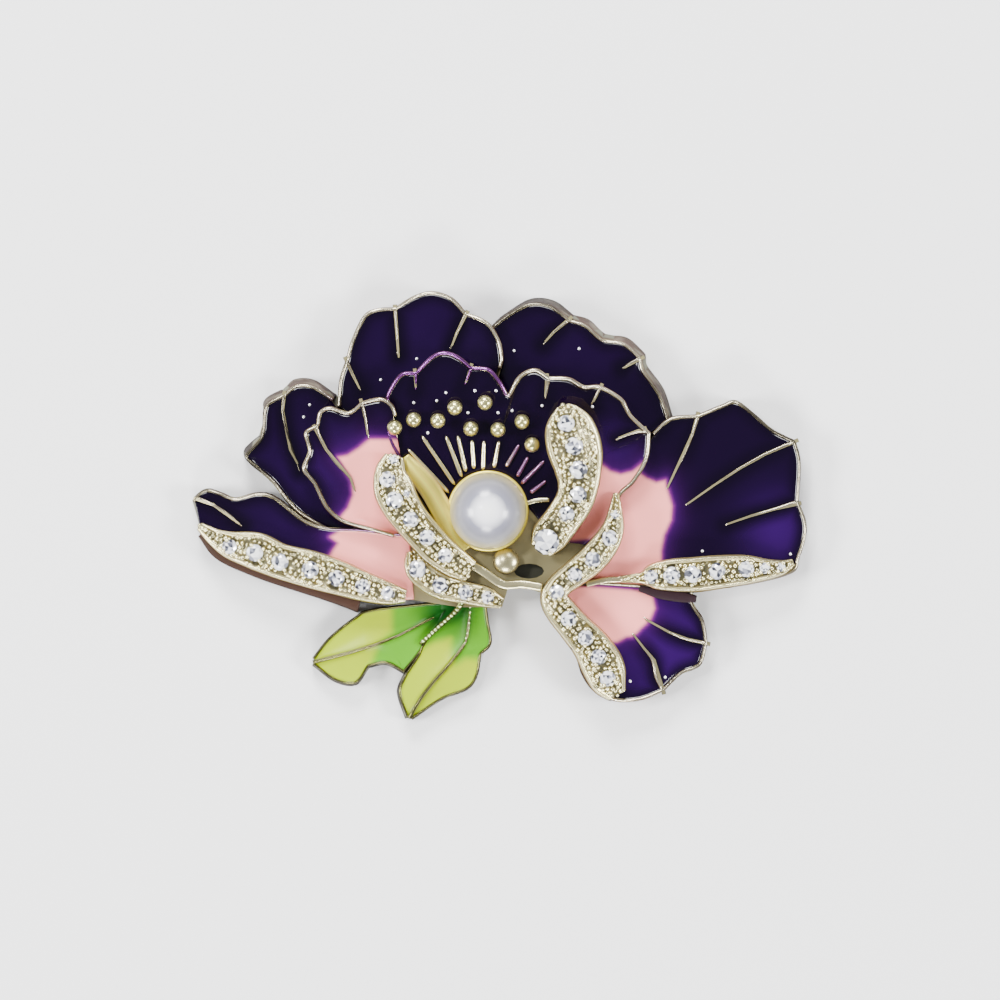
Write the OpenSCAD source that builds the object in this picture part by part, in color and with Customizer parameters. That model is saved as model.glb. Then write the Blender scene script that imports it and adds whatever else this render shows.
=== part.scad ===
// Enamel flower brooch: one cast flower with curled, stone-set petal edges, violet and pink enamel,
// a pearl among stamens, and two green leaves. It lies on its back, face up, in millimetres.

/* [Brooch] */
// Width across the petals
brooch_w = 61.4; // [50:0.2:75]
// Diameter of the pearl
pearl_d = 7.6; // [6.6:0.1:8]
// Height of the pearl's middle above the back
pearl_z = 6.7; // [6.4:0.1:7.5]

/* [Metal] */
// Width of the rim around each petal
rim_w = 0.35; // [0.3:0.05:0.6]
// Width of a vein at the rim
vein_w = 0.42; // [0.3:0.02:0.6]
// Height of a vein above the enamel
vein_h = 0.12; // [0.05:0.01:0.3]
// Diameter of the stamen threads
thread_d = 0.4; // [0.3:0.05:0.6]
// Diameter of the balls on the stamens
ball_d = 1.5; // [1.2:0.1:1.7]
// Width of the rails beside the stones
rail_w = 0.35; // [0.25:0.05:0.4]
// Depth of the channels that hold the stones
channel = 0.45; // [0.3:0.05:0.6]

/* [Enamel] */
// Depth of the beds that the enamel fills
bed = 0.6; // [0.4:0.05:0.7]
// How far the enamel stays below the rims
sink = 0.08; // [0.04:0.01:0.2]

/* [Fit] */
// Gap around what is set or glued
gap = 0.04; // [0.03:0.01:0.06]
// Gap under each stone
stone_gap = 0.08; // [0.06:0.01:0.12]
// Gap under the stamens
stamen_gap = 0.14; // [0.1:0.01:0.2]

/* [Hidden] */
k = brooch_w / 61.4;
sky = 20;
curve_steps = 2;
rings = 2;
lap = 0.06;
gold = "#dcd3a6";
clear = "#e6ecf2";
mid = [0.046, 0.059, 0];
// The smallest outward flare of a petal's wall
draft = 0.05;

// Each petal's edge as rows of x, y, top and notch, clockwise seen from the front.
// A notch of 1 marks a sharp turn.
edge_top_left = [
    [-16.2, 9.8, 3.3, 0], [-16.0, 12.5, 3.4, 0], [-15.3, 14.7, 3.3, 1], [-14.8, 16.5, 3.5, 0],
    [-13.6, 18.9, 3.6, 0], [-12.2, 19.6, 3.6, 0], [-10.5, 19.7, 3.4, 1], [-8.5, 20.9, 3.9, 0],
    [-6.7, 21.3, 4.0, 0], [-4.8, 20.7, 3.9, 0], [-3.4, 19.2, 3.5, 1], [-1.3, 18.3, 3.9, 0],
    [-0.1, 16.6, 3.9, 0], [0.3, 14.7, 3.9, 0], [0.1, 13.6, 3.8, 0]];
edge_top_right = [
    [-1.2, 17.4, 2.9, 0], [0.3, 18.7, 3.1, 0], [2.8, 20.1, 3.3, 0], [5.1, 19.9, 3.3, 0],
    [7.0, 18.5, 3.0, 1], [8.6, 18.0, 3.2, 0], [10.2, 16.6, 3.1, 0], [12.4, 16.2, 3.2, 0],
    [14.1, 14.7, 2.9, 1], [14.4, 13.4, 3.0, 0], [16.0, 11.1, 3.0, 0], [16.9, 8.4, 3.0, 0]];
edge_far_left = [
    [-15.4, -3.4, 2.85, 0], [-17.3, -2.5, 2.85, 0], [-20.4, -0.6, 2.8, 0], [-22.8, 2.3, 2.5, 0],
    [-25.0, 4.2, 2.3, 0], [-25.4, 5.1, 2.2, 0], [-23.9, 6.8, 2.5, 0], [-23.6, 9.2, 2.8, 0],
    [-23.2, 10.2, 2.8, 0], [-21.5, 11.1, 2.7, 1], [-20.4, 12.0, 3.0, 0], [-18.6, 11.9, 3.1, 0],
    [-16.6, 10.6, 3.1, 0]];
edge_inner_left = [
    [-10.6, -3.2, 4.6, 0], [-13.0, -2.5, 4.7, 0], [-15.7, -1.7, 4.8, 0], [-17.4, -0.3, 4.9, 0],
    [-18.6, 2.1, 5.0, 0], [-19.7, 3.6, 5.0, 0], [-19.1, 5.4, 5.0, 0], [-19.5, 7.2, 5.1, 0],
    [-18.3, 8.0, 5.0, 1], [-18.0, 9.3, 5.3, 0], [-16.9, 9.8, 5.4, 0], [-15.1, 9.3, 5.3, 0],
    [-13.8, 10.3, 5.2, 1], [-11.9, 10.7, 5.6, 0], [-10.7, 10.0, 5.6, 0], [-10.3, 8.9, 5.4, 0]];
edge_low_left = [
    [-30.7, 0.4, 2.1, 0], [-30.2, 1.1, 2.2, 0], [-29.2, 1.6, 2.4, 0], [-27.8, 1.2, 2.6, 0],
    [-26.4, 0.7, 2.6, 0], [-24.3, 1.2, 2.9, 0], [-22.4, 0.8, 3.1, 0], [-19.6, -1.4, 3.4, 0],
    [-17.3, -2.2, 3.5, 0], [-14.0, -2.35, 3.5, 0], [-9.0, -2.9, 3.5, 0]];
edge_bowl = [
    [-10.0, 4.4, 4.4, 0], [-11.2, 7.0, 4.6, 0], [-11.4, 10.6, 4.9, 1], [-11.0, 11.6, 5.2, 0],
    [-9.9, 13.1, 5.6, 0], [-8.4, 13.3, 5.5, 1], [-6.9, 14.8, 6.1, 0], [-5.6, 15.3, 6.2, 0],
    [-4.2, 14.9, 6.1, 0], [-2.8, 13.8, 5.8, 1], [-1.1, 13.6, 6.1, 0], [0.1, 12.3, 6.0, 0],
    [0.8, 11.0, 5.6, 1], [1.9, 12.9, 6.0, 0], [3.5, 13.6, 6.2, 0], [4.9, 12.8, 5.9, 1],
    [6.9, 12.7, 6.0, 0], [8.4, 11.9, 5.8, 0], [10.0, 11.9, 5.7, 0], [12.2, 10.6, 5.6, 0],
    [13.1, 9.0, 5.3, 0], [15.0, 7.2, 5.1, 1], [14.7, 4.6, 4.9, 0], [13.4, 2.3, 4.7, 0],
    [12.0, 0.9, 4.5, 0], [11.2, -1.6, 4.4, 0], [8.8, -4.2, 4.3, 0]];
edge_right = [
    [15.2, 7.2, 3.5, 0], [17.0, 8.7, 3.4, 0], [19.8, 9.0, 3.2, 1], [22.2, 10.0, 3.2, 0],
    [23.6, 10.4, 3.1, 0], [25.4, 9.1, 3.0, 0], [27.3, 7.5, 2.9, 0], [29.5, 6.4, 2.7, 1],
    [30.0, 4.2, 2.8, 0], [29.8, 0.4, 2.5, 1], [30.6, -2.2, 2.6, 0], [29.9, -5.2, 2.5, 0],
    [28.6, -7.0, 2.5, 0], [20.5, -8.4, 2.8, 0], [8.7, -7.9, 3.3, 0]];
edge_low_right = [
    [19.5, -7.6, 2.6, 0], [19.2, -9.6, 2.6, 0], [20.3, -11.5, 2.7, 0], [20.7, -13.8, 2.5, 1],
    [20.0, -16.0, 2.6, 0], [18.1, -16.9, 2.5, 0], [16.3, -18.6, 2.4, 1], [13.9, -19.5, 2.5, 0],
    [11.3, -19.5, 2.6, 0], [9.1, -18.0, 2.8, 0], [8.3, -14.9, 3.0, 0], [6.4, -12.0, 3.2, 0],
    [5.3, -9.9, 3.4, 0]];
edge_leaf_left_top = [
    [-18.7, -15.3, 1.6, 0], [-17.1, -13.3, 1.9, 0], [-14.6, -11.3, 2.1, 0], [-12.6, -10.4, 2.1, 0],
    [-5.2, -9.6, 2.2, 0]];
edge_leaf_left_low = [
    [-6.2, -12.2, 2.3, 0], [-8.2, -15.0, 2.1, 0], [-9.6, -16.7, 1.9, 1], [-11.4, -15.8, 2.0, 0],
    [-13.1, -16.1, 1.9, 1], [-14.4, -17.8, 1.8, 0], [-16.5, -17.5, 1.7, 0], [-18.7, -15.9, 1.6, 0]];
edge_leaf_right_left = [
    [-9.3, -21.3, 1.6, 0], [-10.1, -18.7, 1.8, 0], [-9.4, -16.8, 2.0, 1], [-8.2, -15.0, 2.1, 0],
    [-7.4, -13.4, 2.3, 0], [-4.6, -10.8, 2.4, 0], [-4.2, -9.6, 2.4, 0]];
edge_leaf_right_right = [
    [-1.4, -9.6, 2.3, 0], [-1.2, -11.6, 2.3, 0], [-0.9, -13.8, 2.1, 0], [-1.9, -14.9, 2.0, 1],
    [-2.3, -17.1, 1.8, 0], [-3.3, -18.4, 1.8, 0], [-5.8, -19.4, 1.7, 0], [-8.8, -21.4, 1.6, 0]];

// Each petal's root, in the same sense and columns.
root_top_left = [[-9.0, 5.0, 3.6, 0], [-2.0, 6.0, 3.8, 0]];
root_top_right = [[-0.5, 6.5, 3.0, 0], [8.0, 3.0, 3.3, 0]];
root_far_left = [[-12.5, 1.0, 3.0, 0], [-12.2, 4.0, 3.2, 0]];
root_inner_left = [[-9.6, -2.6, 4.2, 0], [-9.9, 0.0, 4.2, 0], [-9.6, 3.0, 4.4, 0]];
root_low_left = [[-29.9, -2.6, 1.9, 0], [-27.8, -4.5, 2.4, 0], [-24.6, -6.4, 2.8, 0],
    [-20.4, -7.6, 3.0, 0], [-16.1, -8.8, 3.1, 0], [-12.6, -9.6, 3.2, 0], [-8.6, -9.4, 3.2, 0]];
root_bowl = [[-5.2, -1.2, 3.9, 0], [-3.6, 1.8, 3.9, 0], [-1.6, 2.6, 3.9, 0], [0.4, 1.8, 4.0, 0],
    [1.8, 0.0, 4.1, 0], [5.6, -3.6, 4.2, 0]];
root_right = [[10.6, 0.2, 3.4, 0], [11.0, -2.4, 3.4, 0], [9.2, -5.2, 3.3, 0]];
root_low_right = [[11.4, -7.6, 3.2, 0], [8.6, -8.0, 3.4, 0], [6.4, -8.4, 3.4, 0]];
rib_leaf_left = [[-18.5, -15.6, 1.7, 0], [-15.2, -14.8, 2.2, 0], [-12.6, -14.0, 2.5, 0],
    [-10.1, -13.0, 2.6, 0], [-5.6, -10.6, 2.5, 0]];
rib_leaf_right = [[-9.0, -21.1, 1.7, 0], [-7.9, -19.3, 2.1, 0], [-6.5, -17.5, 2.4, 0],
    [-4.9, -15.7, 2.6, 0], [-3.4, -13.6, 2.6, 0], [-3.0, -9.8, 2.5, 0]];
function turned(rows) = [for (i = [len(rows) - 1 : -1 : 0]) rows[i]];

// Each petal as edge, root, hollow, how steeply it rises, the lean of its wall and its share of the rim's
// width. The lean is how far, in x and y, the wall's foot lies outside the edge where it faces that way.
petals = [
    [edge_top_left, root_top_left, -0.25, 1, [0, 0], 0.9],
    [edge_top_right, root_top_right, -0.2, 1, [0.35, 0.5], 0.8],
    [edge_far_left, root_far_left, -0.25, 1, [0, 0.6], 0.8],
    [edge_inner_left, root_inner_left, -0.3, 1, [0, 0], 0.9],
    [edge_low_left, root_low_left, 0, 1, [0, 0], 0.8],
    [edge_bowl, root_bowl, 0, 1.5, [0, 0], 0.95],
    [edge_right, root_right, -0.3, 1, [0, 0], 0.8],
    [edge_low_right, root_low_right, -0.2, 1, [0, 0], 0.8],
    [edge_leaf_left_top, rib_leaf_left, 0, 1, [0, 0], 0.55],
    [edge_leaf_left_low, turned(rib_leaf_left), 0, 1, [0, -0.2], 0.55],
    [edge_leaf_right_left, rib_leaf_right, 0, 1, [-0.2, 0], 0.55],
    [edge_leaf_right_right, turned(rib_leaf_right), 0, 1, [0, -0.1], 0.55]];
TOP_LEFT = 0;
TOP_RIGHT = 1;
FAR_LEFT = 2;
INNER_LEFT = 3;
LOW_LEFT = 4;
BOWL = 5;
RIGHT = 6;
LOW_RIGHT = 7;
LEAF_LEFT = [8, 9];
LEAF_RIGHT = [10, 11];

// Veins as rows of points x, y from the rim inwards.
veins_top_left = [[[-15.5, 14.8], [-14.7, 13.0], [-14.0, 11.6]],
    [[-10.5, 20.0], [-10.2, 15.9], [-10.1, 14.7]],
    [[-3.2, 19.4], [-4.3, 17.2], [-4.8, 15.9]]];
veins_top_right = [[[7.2, 18.8], [5.4, 17.3], [4.5, 16.3]], [[14.4, 14.8], [12.4, 13.7]]];
veins_far_left = [[[-21.5, 11.4], [-21.7, 9.4], [-20.95, 5.5], [-20.2, 4.1]]];
veins_inner_left = [[[-18.6, 8.0], [-17.3, 5.5], [-14.9, 2.7], [-14.5, 1.5]],
    [[-13.9, 10.6], [-13.4, 8.6], [-13.2, 7.0]]];
veins_low_left = [[[-30.6, 0.7], [-28.6, 0.0], [-26.0, -1.9]]];
veins_bowl = [[[-8.5, 13.6], [-8.4, 11.7]], [[-2.8, 14.1], [-3.4, 12.2]], [[4.7, 13.1], [4.5, 10.8]],
    [[10.2, 12.1], [9.3, 10.3]], [[14.6, 7.7], [11.8, 6.7]]];
veins_right = [[[19.8, 9.3], [19.2, 7.1], [17.4, 3.2], [16.7, 1.7]],
    [[29.8, 6.5], [26.5, 5.1], [24.0, 3.7], [21.4, 2.0], [18.7, 0.1]],
    [[30.1, 0.2], [27.4, -0.4], [25.0, -1.1], [22.7, -1.9]]];
veins_low_right = [[[21.0, -13.9], [18.7, -13.4], [16.9, -12.7], [14.5, -11.4]],
    [[16.4, -18.9], [15.4, -15.5], [14.3, -14.2], [13.3, -12.9]]];
vein_leaf_left = [[[-18.7, -15.7], [-15.2, -14.8], [-12.6, -14.0], [-10.1, -13.0], [-6.8, -11.3]]];
vein_leaf_right = [[[-9.1, -21.3], [-7.9, -19.3], [-6.5, -17.5], [-4.9, -15.7], [-3.4, -13.6],
    [-3.1, -11.4]]];

veins = [veins_top_left, veins_top_right, veins_far_left, veins_inner_left, veins_low_left, veins_bowl,
    veins_right, veins_low_right, vein_leaf_left, [], vein_leaf_right, []];

// Stamen threads as x, y of the outer end and of the inner end.
threads = [[-9.2, 5.6, -5.1, 1.2], [-7.8, 6.9, -4.5, 2.0], [-5.4, 6.9, -3.8, 2.8], [-4.2, 6.9, -3.4, 3.3],
    [-2.8, 6.5, -2.6, 3.6], [-1.6, 6.4, -1.7, 3.5], [-0.1, 6.4, -0.6, 3.7], [1.9, 6.0, 0.6, 3.8],
    [2.8, 4.8, 1.7, 2.8], [4.4, 4.4, 2.1, 2.1], [4.6, 2.4, 3.0, 1.2]];
function thread_line(t) = [[t[0], t[1]], [t[2], t[3]]];
// Stamen balls as x, y.
balls = [[-10.5, 7.7], [-8.6, 8.5], [-6.2, 8.4], [-4.5, 9.7], [-1.5, 10.2], [-2.9, 7.6], [-0.2, 7.5],
    [2.2, 8.3], [3.2, 6.0]];

// Raised bands and curls as rows of x, y, top and half width along the middle.
band_low_left = [[-30.0, -2.1, 2.3, 0.35], [-28.5, -3.2, 2.9, 0.8], [-26.8, -4.0, 3.4, 1.3],
    [-24.3, -4.6, 3.8, 1.75], [-21.9, -5.6, 4.1, 1.65], [-18.9, -6.4, 4.3, 1.75], [-16.2, -7.2, 4.4, 1.65],
    [-13.6, -8.1, 4.4, 1.4], [-11.1, -8.8, 4.3, 1.05], [-9.4, -9.1, 4.2, 0.6]];
band_right = [[12.0, -7.4, 3.7, 0.3], [14.0, -7.3, 4.0, 0.5], [15.2, -7.1, 4.2, 1.15],
    [17.1, -7.0, 4.2, 1.5], [19.2, -6.95, 4.1, 1.6], [21.6, -6.7, 3.9, 1.55], [24.5, -6.45, 3.6, 1.35],
    [26.6, -6.4, 3.3, 0.95], [28.2, -6.2, 3.0, 0.65], [29.3, -5.7, 2.8, 0.3]];
curl_right = [[6.3, 9.9, 7.0, 0.6], [6.5, 9.3, 7.3, 1.4], [6.8, 8.2, 7.6, 2.2], [7.2, 6.6, 7.9, 2.55],
    [7.6, 5.0, 8.1, 2.5], [7.8, 3.5, 8.2, 2.2], [7.8, 1.9, 8.1, 1.9], [7.3, 0.2, 7.8, 1.75],
    [6.1, -1.6, 7.2, 1.7], [4.9, -3.2, 6.7, 1.7], [4.2, -4.3, 6.4, 1.2]];
hook = [[11.6, 1.2, 5.0, 0.25], [11.5, -0.6, 5.9, 0.65], [11.3, -2.2, 6.3, 1.0], [10.6, -3.7, 6.4, 1.25],
    [9.2, -5.4, 6.3, 1.35], [7.5, -6.8, 6.0, 1.25], [6.0, -8.0, 5.7, 1.15], [5.4, -9.2, 5.4, 1.25],
    [6.0, -10.4, 5.1, 1.4], [7.5, -12.2, 4.8, 1.5], [9.1, -14.0, 4.5, 1.75], [10.2, -15.9, 4.2, 1.95],
    [10.9, -17.6, 3.8, 1.7], [11.7, -19.0, 3.3, 0.9]];
curl_left = [[-10.5, 4.9, 6.6, 0.9], [-10.9, 3.3, 6.9, 1.5], [-10.6, 1.7, 7.1, 1.9], [-9.9, 0.1, 7.1, 1.85],
    [-8.8, -1.5, 7.0, 1.7], [-7.6, -2.9, 6.8, 1.65], [-6.2, -4.4, 6.5, 1.6], [-4.5, -5.7, 6.1, 1.45],
    [-2.9, -6.6, 5.6, 1.1]];
band_under = [[-8.5, -4.6, 5.2, 0.8], [-8.2, -6.4, 5.6, 1.15], [-6.1, -8.0, 5.5, 1.2],
    [-3.5, -8.7, 5.2, 1.05], [-1.3, -9.2, 4.9, 0.95], [0.2, -9.8, 4.5, 0.5]];
bands = [band_low_left, band_right, curl_right, hook, curl_left, band_under];
// Plain metal: the left curl's inner face, the ridge under the pearl and the border at the hook.
plain_curl = [[-9.6, 4.7, 5.6, 0.4], [-8.7, 3.2, 5.7, 0.75], [-7.3, 1.4, 5.6, 0.9], [-5.7, -1.0, 5.45, 1.0],
    [-4.6, -3.0, 5.3, 0.75], [-3.6, -4.6, 5.2, 0.9]];
ridge = [[-3.4, -5.6, 5.2, 0.35], [-1.6, -6.7, 5.1, 0.4], [0.3, -7.9, 5.0, 0.4], [2.2, -7.9, 5.0, 0.35],
    [4.2, -8.2, 5.1, 0.35]];
border = [[8.6, -7.9, 3.9, 0.25], [10.5, -7.5, 3.9, 0.25], [12.2, -7.4, 3.9, 0.25]];
stem = [[-8.0, -13.9, 2.5, 0.12], [-6.4, -12.4, 2.8, 0.17], [-4.4, -10.6, 3.2, 0.22],
    [-3.6, -9.4, 3.5, 0.25]];
plain = [plain_curl, ridge, border, stem];
// Walls that show past the low left border, the hook and the right border.
skirt_low_left = [[-29.9, -2.9, 1.6, 0.3], [-28.0, -4.9, 2.1, 0.55], [-24.6, -6.5, 2.4, 0.55],
    [-21.5, -7.6, 2.6, 0.55], [-18.5, -8.5, 2.7, 0.6], [-15.7, -9.4, 2.7, 0.65], [-14.0, -9.9, 2.6, 0.8]];
skirt_hook = [[7.9, -14.9, 2.4, 0.3], [8.7, -16.8, 2.4, 0.5], [9.8, -18.3, 2.3, 0.5],
    [11.2, -19.2, 2.1, 0.4]];
skirt_right = [[13.9, -8.3, 3.3, 0.3], [16.0, -8.9, 3.3, 0.45], [18.2, -9.2, 3.2, 0.5],
    [19.6, -9.4, 3.0, 0.3]];
skirts = [skirt_low_left, skirt_hook, skirt_right];

// Stones as x, y and diameter, a list for each band.
stones_low_left = [[-26.9, -4.2, 1.5], [-24.4, -4.8, 1.7], [-21.9, -5.7, 1.7], [-18.9, -6.45, 1.7],
    [-16.3, -7.3, 1.6], [-13.7, -8.1, 1.5], [-11.2, -8.8, 1.4]];
stones_right = [[15.1, -7.15, 1.4], [17.1, -7.0, 1.7], [19.2, -6.9, 1.7], [21.6, -6.6, 1.7],
    [24.5, -6.4, 1.6], [26.4, -6.3, 1.1], [28.0, -6.2, 0.9]];
stones_curl_right = [[6.6, 8.0, 1.7], [7.4, 5.8, 1.8], [7.8, 3.5, 1.8], [7.8, 1.1, 1.7], [6.7, -0.8, 1.6],
    [4.7, -3.5, 2.6]];
stones_hook = [[11.45, -1.0, 0.9], [10.9, -3.3, 1.6], [9.25, -5.4, 1.6], [7.5, -6.9, 1.5], [5.7, -8.6, 1.5],
    [6.8, -11.3, 1.6], [8.5, -13.2, 1.6], [9.8, -15.1, 1.6], [10.7, -17.2, 1.6]];
stones_curl_left = [[-10.6, 4.5, 1.0], [-11.2, 2.5, 1.6], [-10.5, 0.5, 1.7], [-8.9, -1.4, 1.6],
    [-7.3, -3.2, 1.6], [-5.5, -5.0, 1.5], [-9.28, 1.13, 0.8]];
stones_under = [[-8.2, -6.4, 1.8], [-6.0, -8.0, 1.6], [-3.5, -8.7, 1.5], [-1.3, -9.2, 1.3]];
stone_sets = [["stone_low_left", 0, stones_low_left], ["stone_right", 1, stones_right],
    ["stone_curl_right", 2, stones_curl_right], ["stone_hook", 3, stones_hook],
    ["stone_curl_left", 4, stones_curl_left], ["stone_under", 5, stones_under]];

// Hollows in the back as x, y, half length, half width and ceiling.
hollows = [[-1, 4.5, 14.5, 8, 2.2], [-1.5, 13, 12, 4.5, 2.0], [22.0, 0, 6.5, 6, 1.5]];

// Curves

function xyz(row) = [row[0] * k, row[1] * k, row[2]];
function catmull(a, b, c, d, t) =
    (2 * b + (c - a) * t + (2 * a - 5 * b + 4 * c - d) * t * t + (3 * b - a - 3 * c + d) * t * t * t) / 2;
// A smooth line through the rows, broken at each notch.
function curve(rows, steps = curve_steps) = [
    for (i = [0 : len(rows) - 2])
        let (
            b = xyz(rows[i]),
            c = xyz(rows[i + 1]),
            a = i == 0 || rows[i][3] == 1 ? 2 * b - c : xyz(rows[i - 1]),
            d = i == len(rows) - 2 || rows[i + 1][3] == 1 ? 2 * c - b : xyz(rows[i + 2])
        )
        for (j = [0 : steps - 1]) catmull(a, b, c, d, j / steps),
    xyz(rows[len(rows) - 1])];
// How far along a line each of its points lies, from 0 to 1.
function shares(line) =
    let (
        steps = [0, for (i = [1 : len(line) - 1]) norm(line[i] - line[i - 1])],
        walk = [for (i = 0, s = 0; i < len(line); i = i + 1, s = s + (i < len(line) ? steps[i] : 0)) s]
    )
    walk / walk[len(walk) - 1];
function at(line, share) =
    let (
        place = share * (len(line) - 1),
        i = min(floor(place), len(line) - 2)
    )
    line[i] + (line[i + 1] - line[i]) * (place - i);
function flat(p) = [p[0], p[1]];

// Petals

// The right-hand side of a line at its point i, as a unit vector.
function side(line, i) =
    let (
        a = line[max(i - 1, 0)],
        b = line[min(i + 1, len(line) - 1)],
        t = [b[0] - a[0], b[1] - a[1]]
    )
    [t[1], -t[0]] / norm(t);
function edge_of(p) = curve(p[0]);
function root_of(p) =
    let (line = curve(p[1]))
    [for (s = shares(edge_of(p))) at(line, s)];
// The root moved away from the edge, so that halves that share a root overlap.
function behind(p) =
    let (edge = edge_of(p), root = root_of(p))
    [for (i = [0 : len(edge) - 1])
        let (out = flat(root[i]) - flat(edge[i]), step = out / norm(out) * lap)
        root[i] + [step[0], step[1], 0]];
// The petal's edge moved inwards by a width, and less where the petal is narrow.
function inside(p, width) =
    let (edge = edge_of(p), root = root_of(p))
    [for (i = [0 : len(edge) - 1])
        let (
            in = side(edge, i) * min(width, 0.4 * norm(flat(edge[i]) - flat(root[i]))),
            q = edge[i]
        )
        [q[0] + in[0], q[1] + in[1], q[2]]];
// The enamel's surface at share v of the way from root a to inner edge b.
function over(p, a, b, v) =
    a + (b - a) * v + [0, 0, (b[2] - a[2]) * (pow(v, p[3]) - v) + p[2] * 4 * v * (1 - v) - sink];
// The foot of the outer wall, pushed outwards where the wall faces the way it leans.
function foot_line(p) =
    let (edge = edge_of(p))
    [for (i = [0 : len(edge) - 1])
        let (out = -side(edge, i))
        flat(edge[i]) + out * max(draft, out * p[4])];

// A closed skin over sections from one end wall to the other. Its quads are cut along one diagonal or,
// when crossed, along the other.
module sweep(sections, crossed = false) {
    n = len(sections[0]);
    m = len(sections);
    polyhedron(
        points = [for (s = sections) for (q = s) q],
        faces = concat(
            [[for (i = [0 : n - 1]) i]],
            [[for (i = [n - 1 : -1 : 0]) (m - 1) * n + i]],
            [for (j = [0 : m - 2]) for (i = [0 : n - 1])
                let (a = j * n + i, b = j * n + (i + 1) % n)
                each crossed ? [[a, a + n, b], [b, a + n, b + n]] : [[a, a + n, b + n], [a, b + n, b]]]));
}

// A petal's metal: its bed, the rim around it and the wall down to the back.
module body(p) {
    edge = edge_of(p);
    root = behind(p);
    inner = inside(p, rim_w * p[5]);
    foot = foot_line(p);
    sweep([for (i = [0 : len(edge) - 1]) [
        [foot[i][0], foot[i][1], 0],
        edge[i],
        inner[i],
        inner[i] - [0, 0, bed],
        root[i] - [0, 0, bed],
        [root[i][0], root[i][1], 0]]]);
}
// The enamel over a petal's bed. Crossed, its quads are cut as the bed's are, so that the gap stays even.
// The top left petal is nearly flat and has no need of it.
module coat(p, crossed = true) {
    root = behind(p);
    inner = inside(p, rim_w * p[5] + gap);
    steps = p[2] == 0 && p[3] == 1 ? 1 : rings;
    sweep([for (i = [0 : len(inner) - 1]) concat(
        [root[i] - [0, 0, bed - gap], inner[i] - [0, 0, bed - gap]],
        [for (j = [steps : -1 : 0]) over(p, root[i], inner[i], j / steps)])], crossed);
}
// The height of the enamel at a place, from the nearby points of its surface.
function surface_z(p, x, y) =
    let (
        root = root_of(p),
        inner = inside(p, rim_w * p[5]),
        points = [for (i = [0 : len(inner) - 1]) for (j = [0 : 12]) over(p, root[i], inner[i], j / 12)],
        pull = [for (q = points) 1 / pow(norm([q[0] - x, q[1] - y]) + 0.05, 4)]
    )
    pull * [for (q = points) q[2]] / (pull * [for (q = points) 1]);
// A metal ridge that stands on the bed and rises over the enamel.
module vein(p, line, w, rise) {
    n = len(line) - 1;
    sweep([for (i = [0 : n])
        let (
            q = line[i] * k,
            z = surface_z(p, q[0], q[1]),
            out = side(line, i) * w / 2 * (1 - 0.5 * i / n)
        )
        [for (c = [[-1, -bed - 0.3], [-0.8, rise], [0.8, rise], [1, -bed - 0.3]])
            [q[0] + out[0] * c[0], q[1] + out[1] * c[0], z + c[1]]]]);
}
// The room that a vein takes from the enamel.
module stroke(line, w) {
    n = len(line) - 1;
    polygon([for (i = [0 : 2 * n + 1])
        let (j = i <= n ? i : 2 * n + 1 - i, half = (w / 2 * (1 - 0.5 * j / n) + gap) * (i <= n ? 1 : -1))
        line[j] * k + side(line, j) * half]);
}
module foot(p) {
    polygon(concat(foot_line(p), [for (q = turned(root_of(p))) flat(q)]));
}

// Bands

// A band's middle line with its half width, as x, y, z, w.
function band_line(rows) = [for (r = rows) [r[0] * k, r[1] * k, r[2], r[3]]];
// A raised band with a channel along its top, which the stones sit in.
module band(rows, low) {
    line = band_line(rows);
    sweep([for (i = [0 : len(line) - 1])
        let (
            q = line[i],
            s = side(line, i),
            w = q[3],
            wall = min(rail_w, w * 0.35),
            deep = min(channel, w * 0.4)
        )
        [for (c = [[-1.1 * w, low], [-w, q[2] - 0.1], [wall - w, q[2]], [0.1 + wall - w, q[2] - deep],
            [w - wall - 0.1, q[2] - deep], [w - wall, q[2]], [w, q[2] - 0.1], [1.1 * w, low]])
            [q[0] + s[0] * c[0], q[1] + s[1] * c[0], c[1]]]]);
}
module plain_band(rows, low) {
    line = band_line(rows);
    sweep([for (i = [0 : len(line) - 1])
        let (q = line[i], s = side(line, i), w = q[3])
        [for (c = [[-1.1, low], [-0.8, q[2] - 0.2 * w], [0, q[2]], [0.8, q[2] - 0.2 * w], [1.1, low]])
            [q[0] + s[0] * w * c[0], q[1] + s[1] * w * c[0], c[1]]]]);
}
module band_outline(rows) {
    line = band_line(rows);
    n = len(line) - 1;
    polygon([for (i = [0 : 2 * n + 1])
        let (j = i <= n ? i : 2 * n + 1 - i, s = side(line, j), w = line[j][3] * (i <= n ? 1.1 : -1.1))
        [line[j][0] + s[0] * w, line[j][1] + s[1] * w]]);
}

// Stones and pearl

// Half the outline of a cut stone of diameter 1: the point below, the girdle and the table's corner.
stone_form = [[0, 0], [0.5, 0.32], [0.3, 0.5]];
module cut_stone(d)
    hull() rotate_extrude($fn = 8) polygon(stone_form * d);
// A line with more points between its own.
function drawn_out(line) = [
    for (i = [0 : len(line) - 2]) for (j = [0 : 7]) line[i] + (line[i + 1] - line[i]) * j / 8,
    line[len(line) - 1]];
// Which row of a line is nearest to a point.
function nearest(line, x, y) =
    let (far = [for (q = line) norm([q[0] - x, q[1] - y])])
    search(min(far), far)[0];
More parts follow.
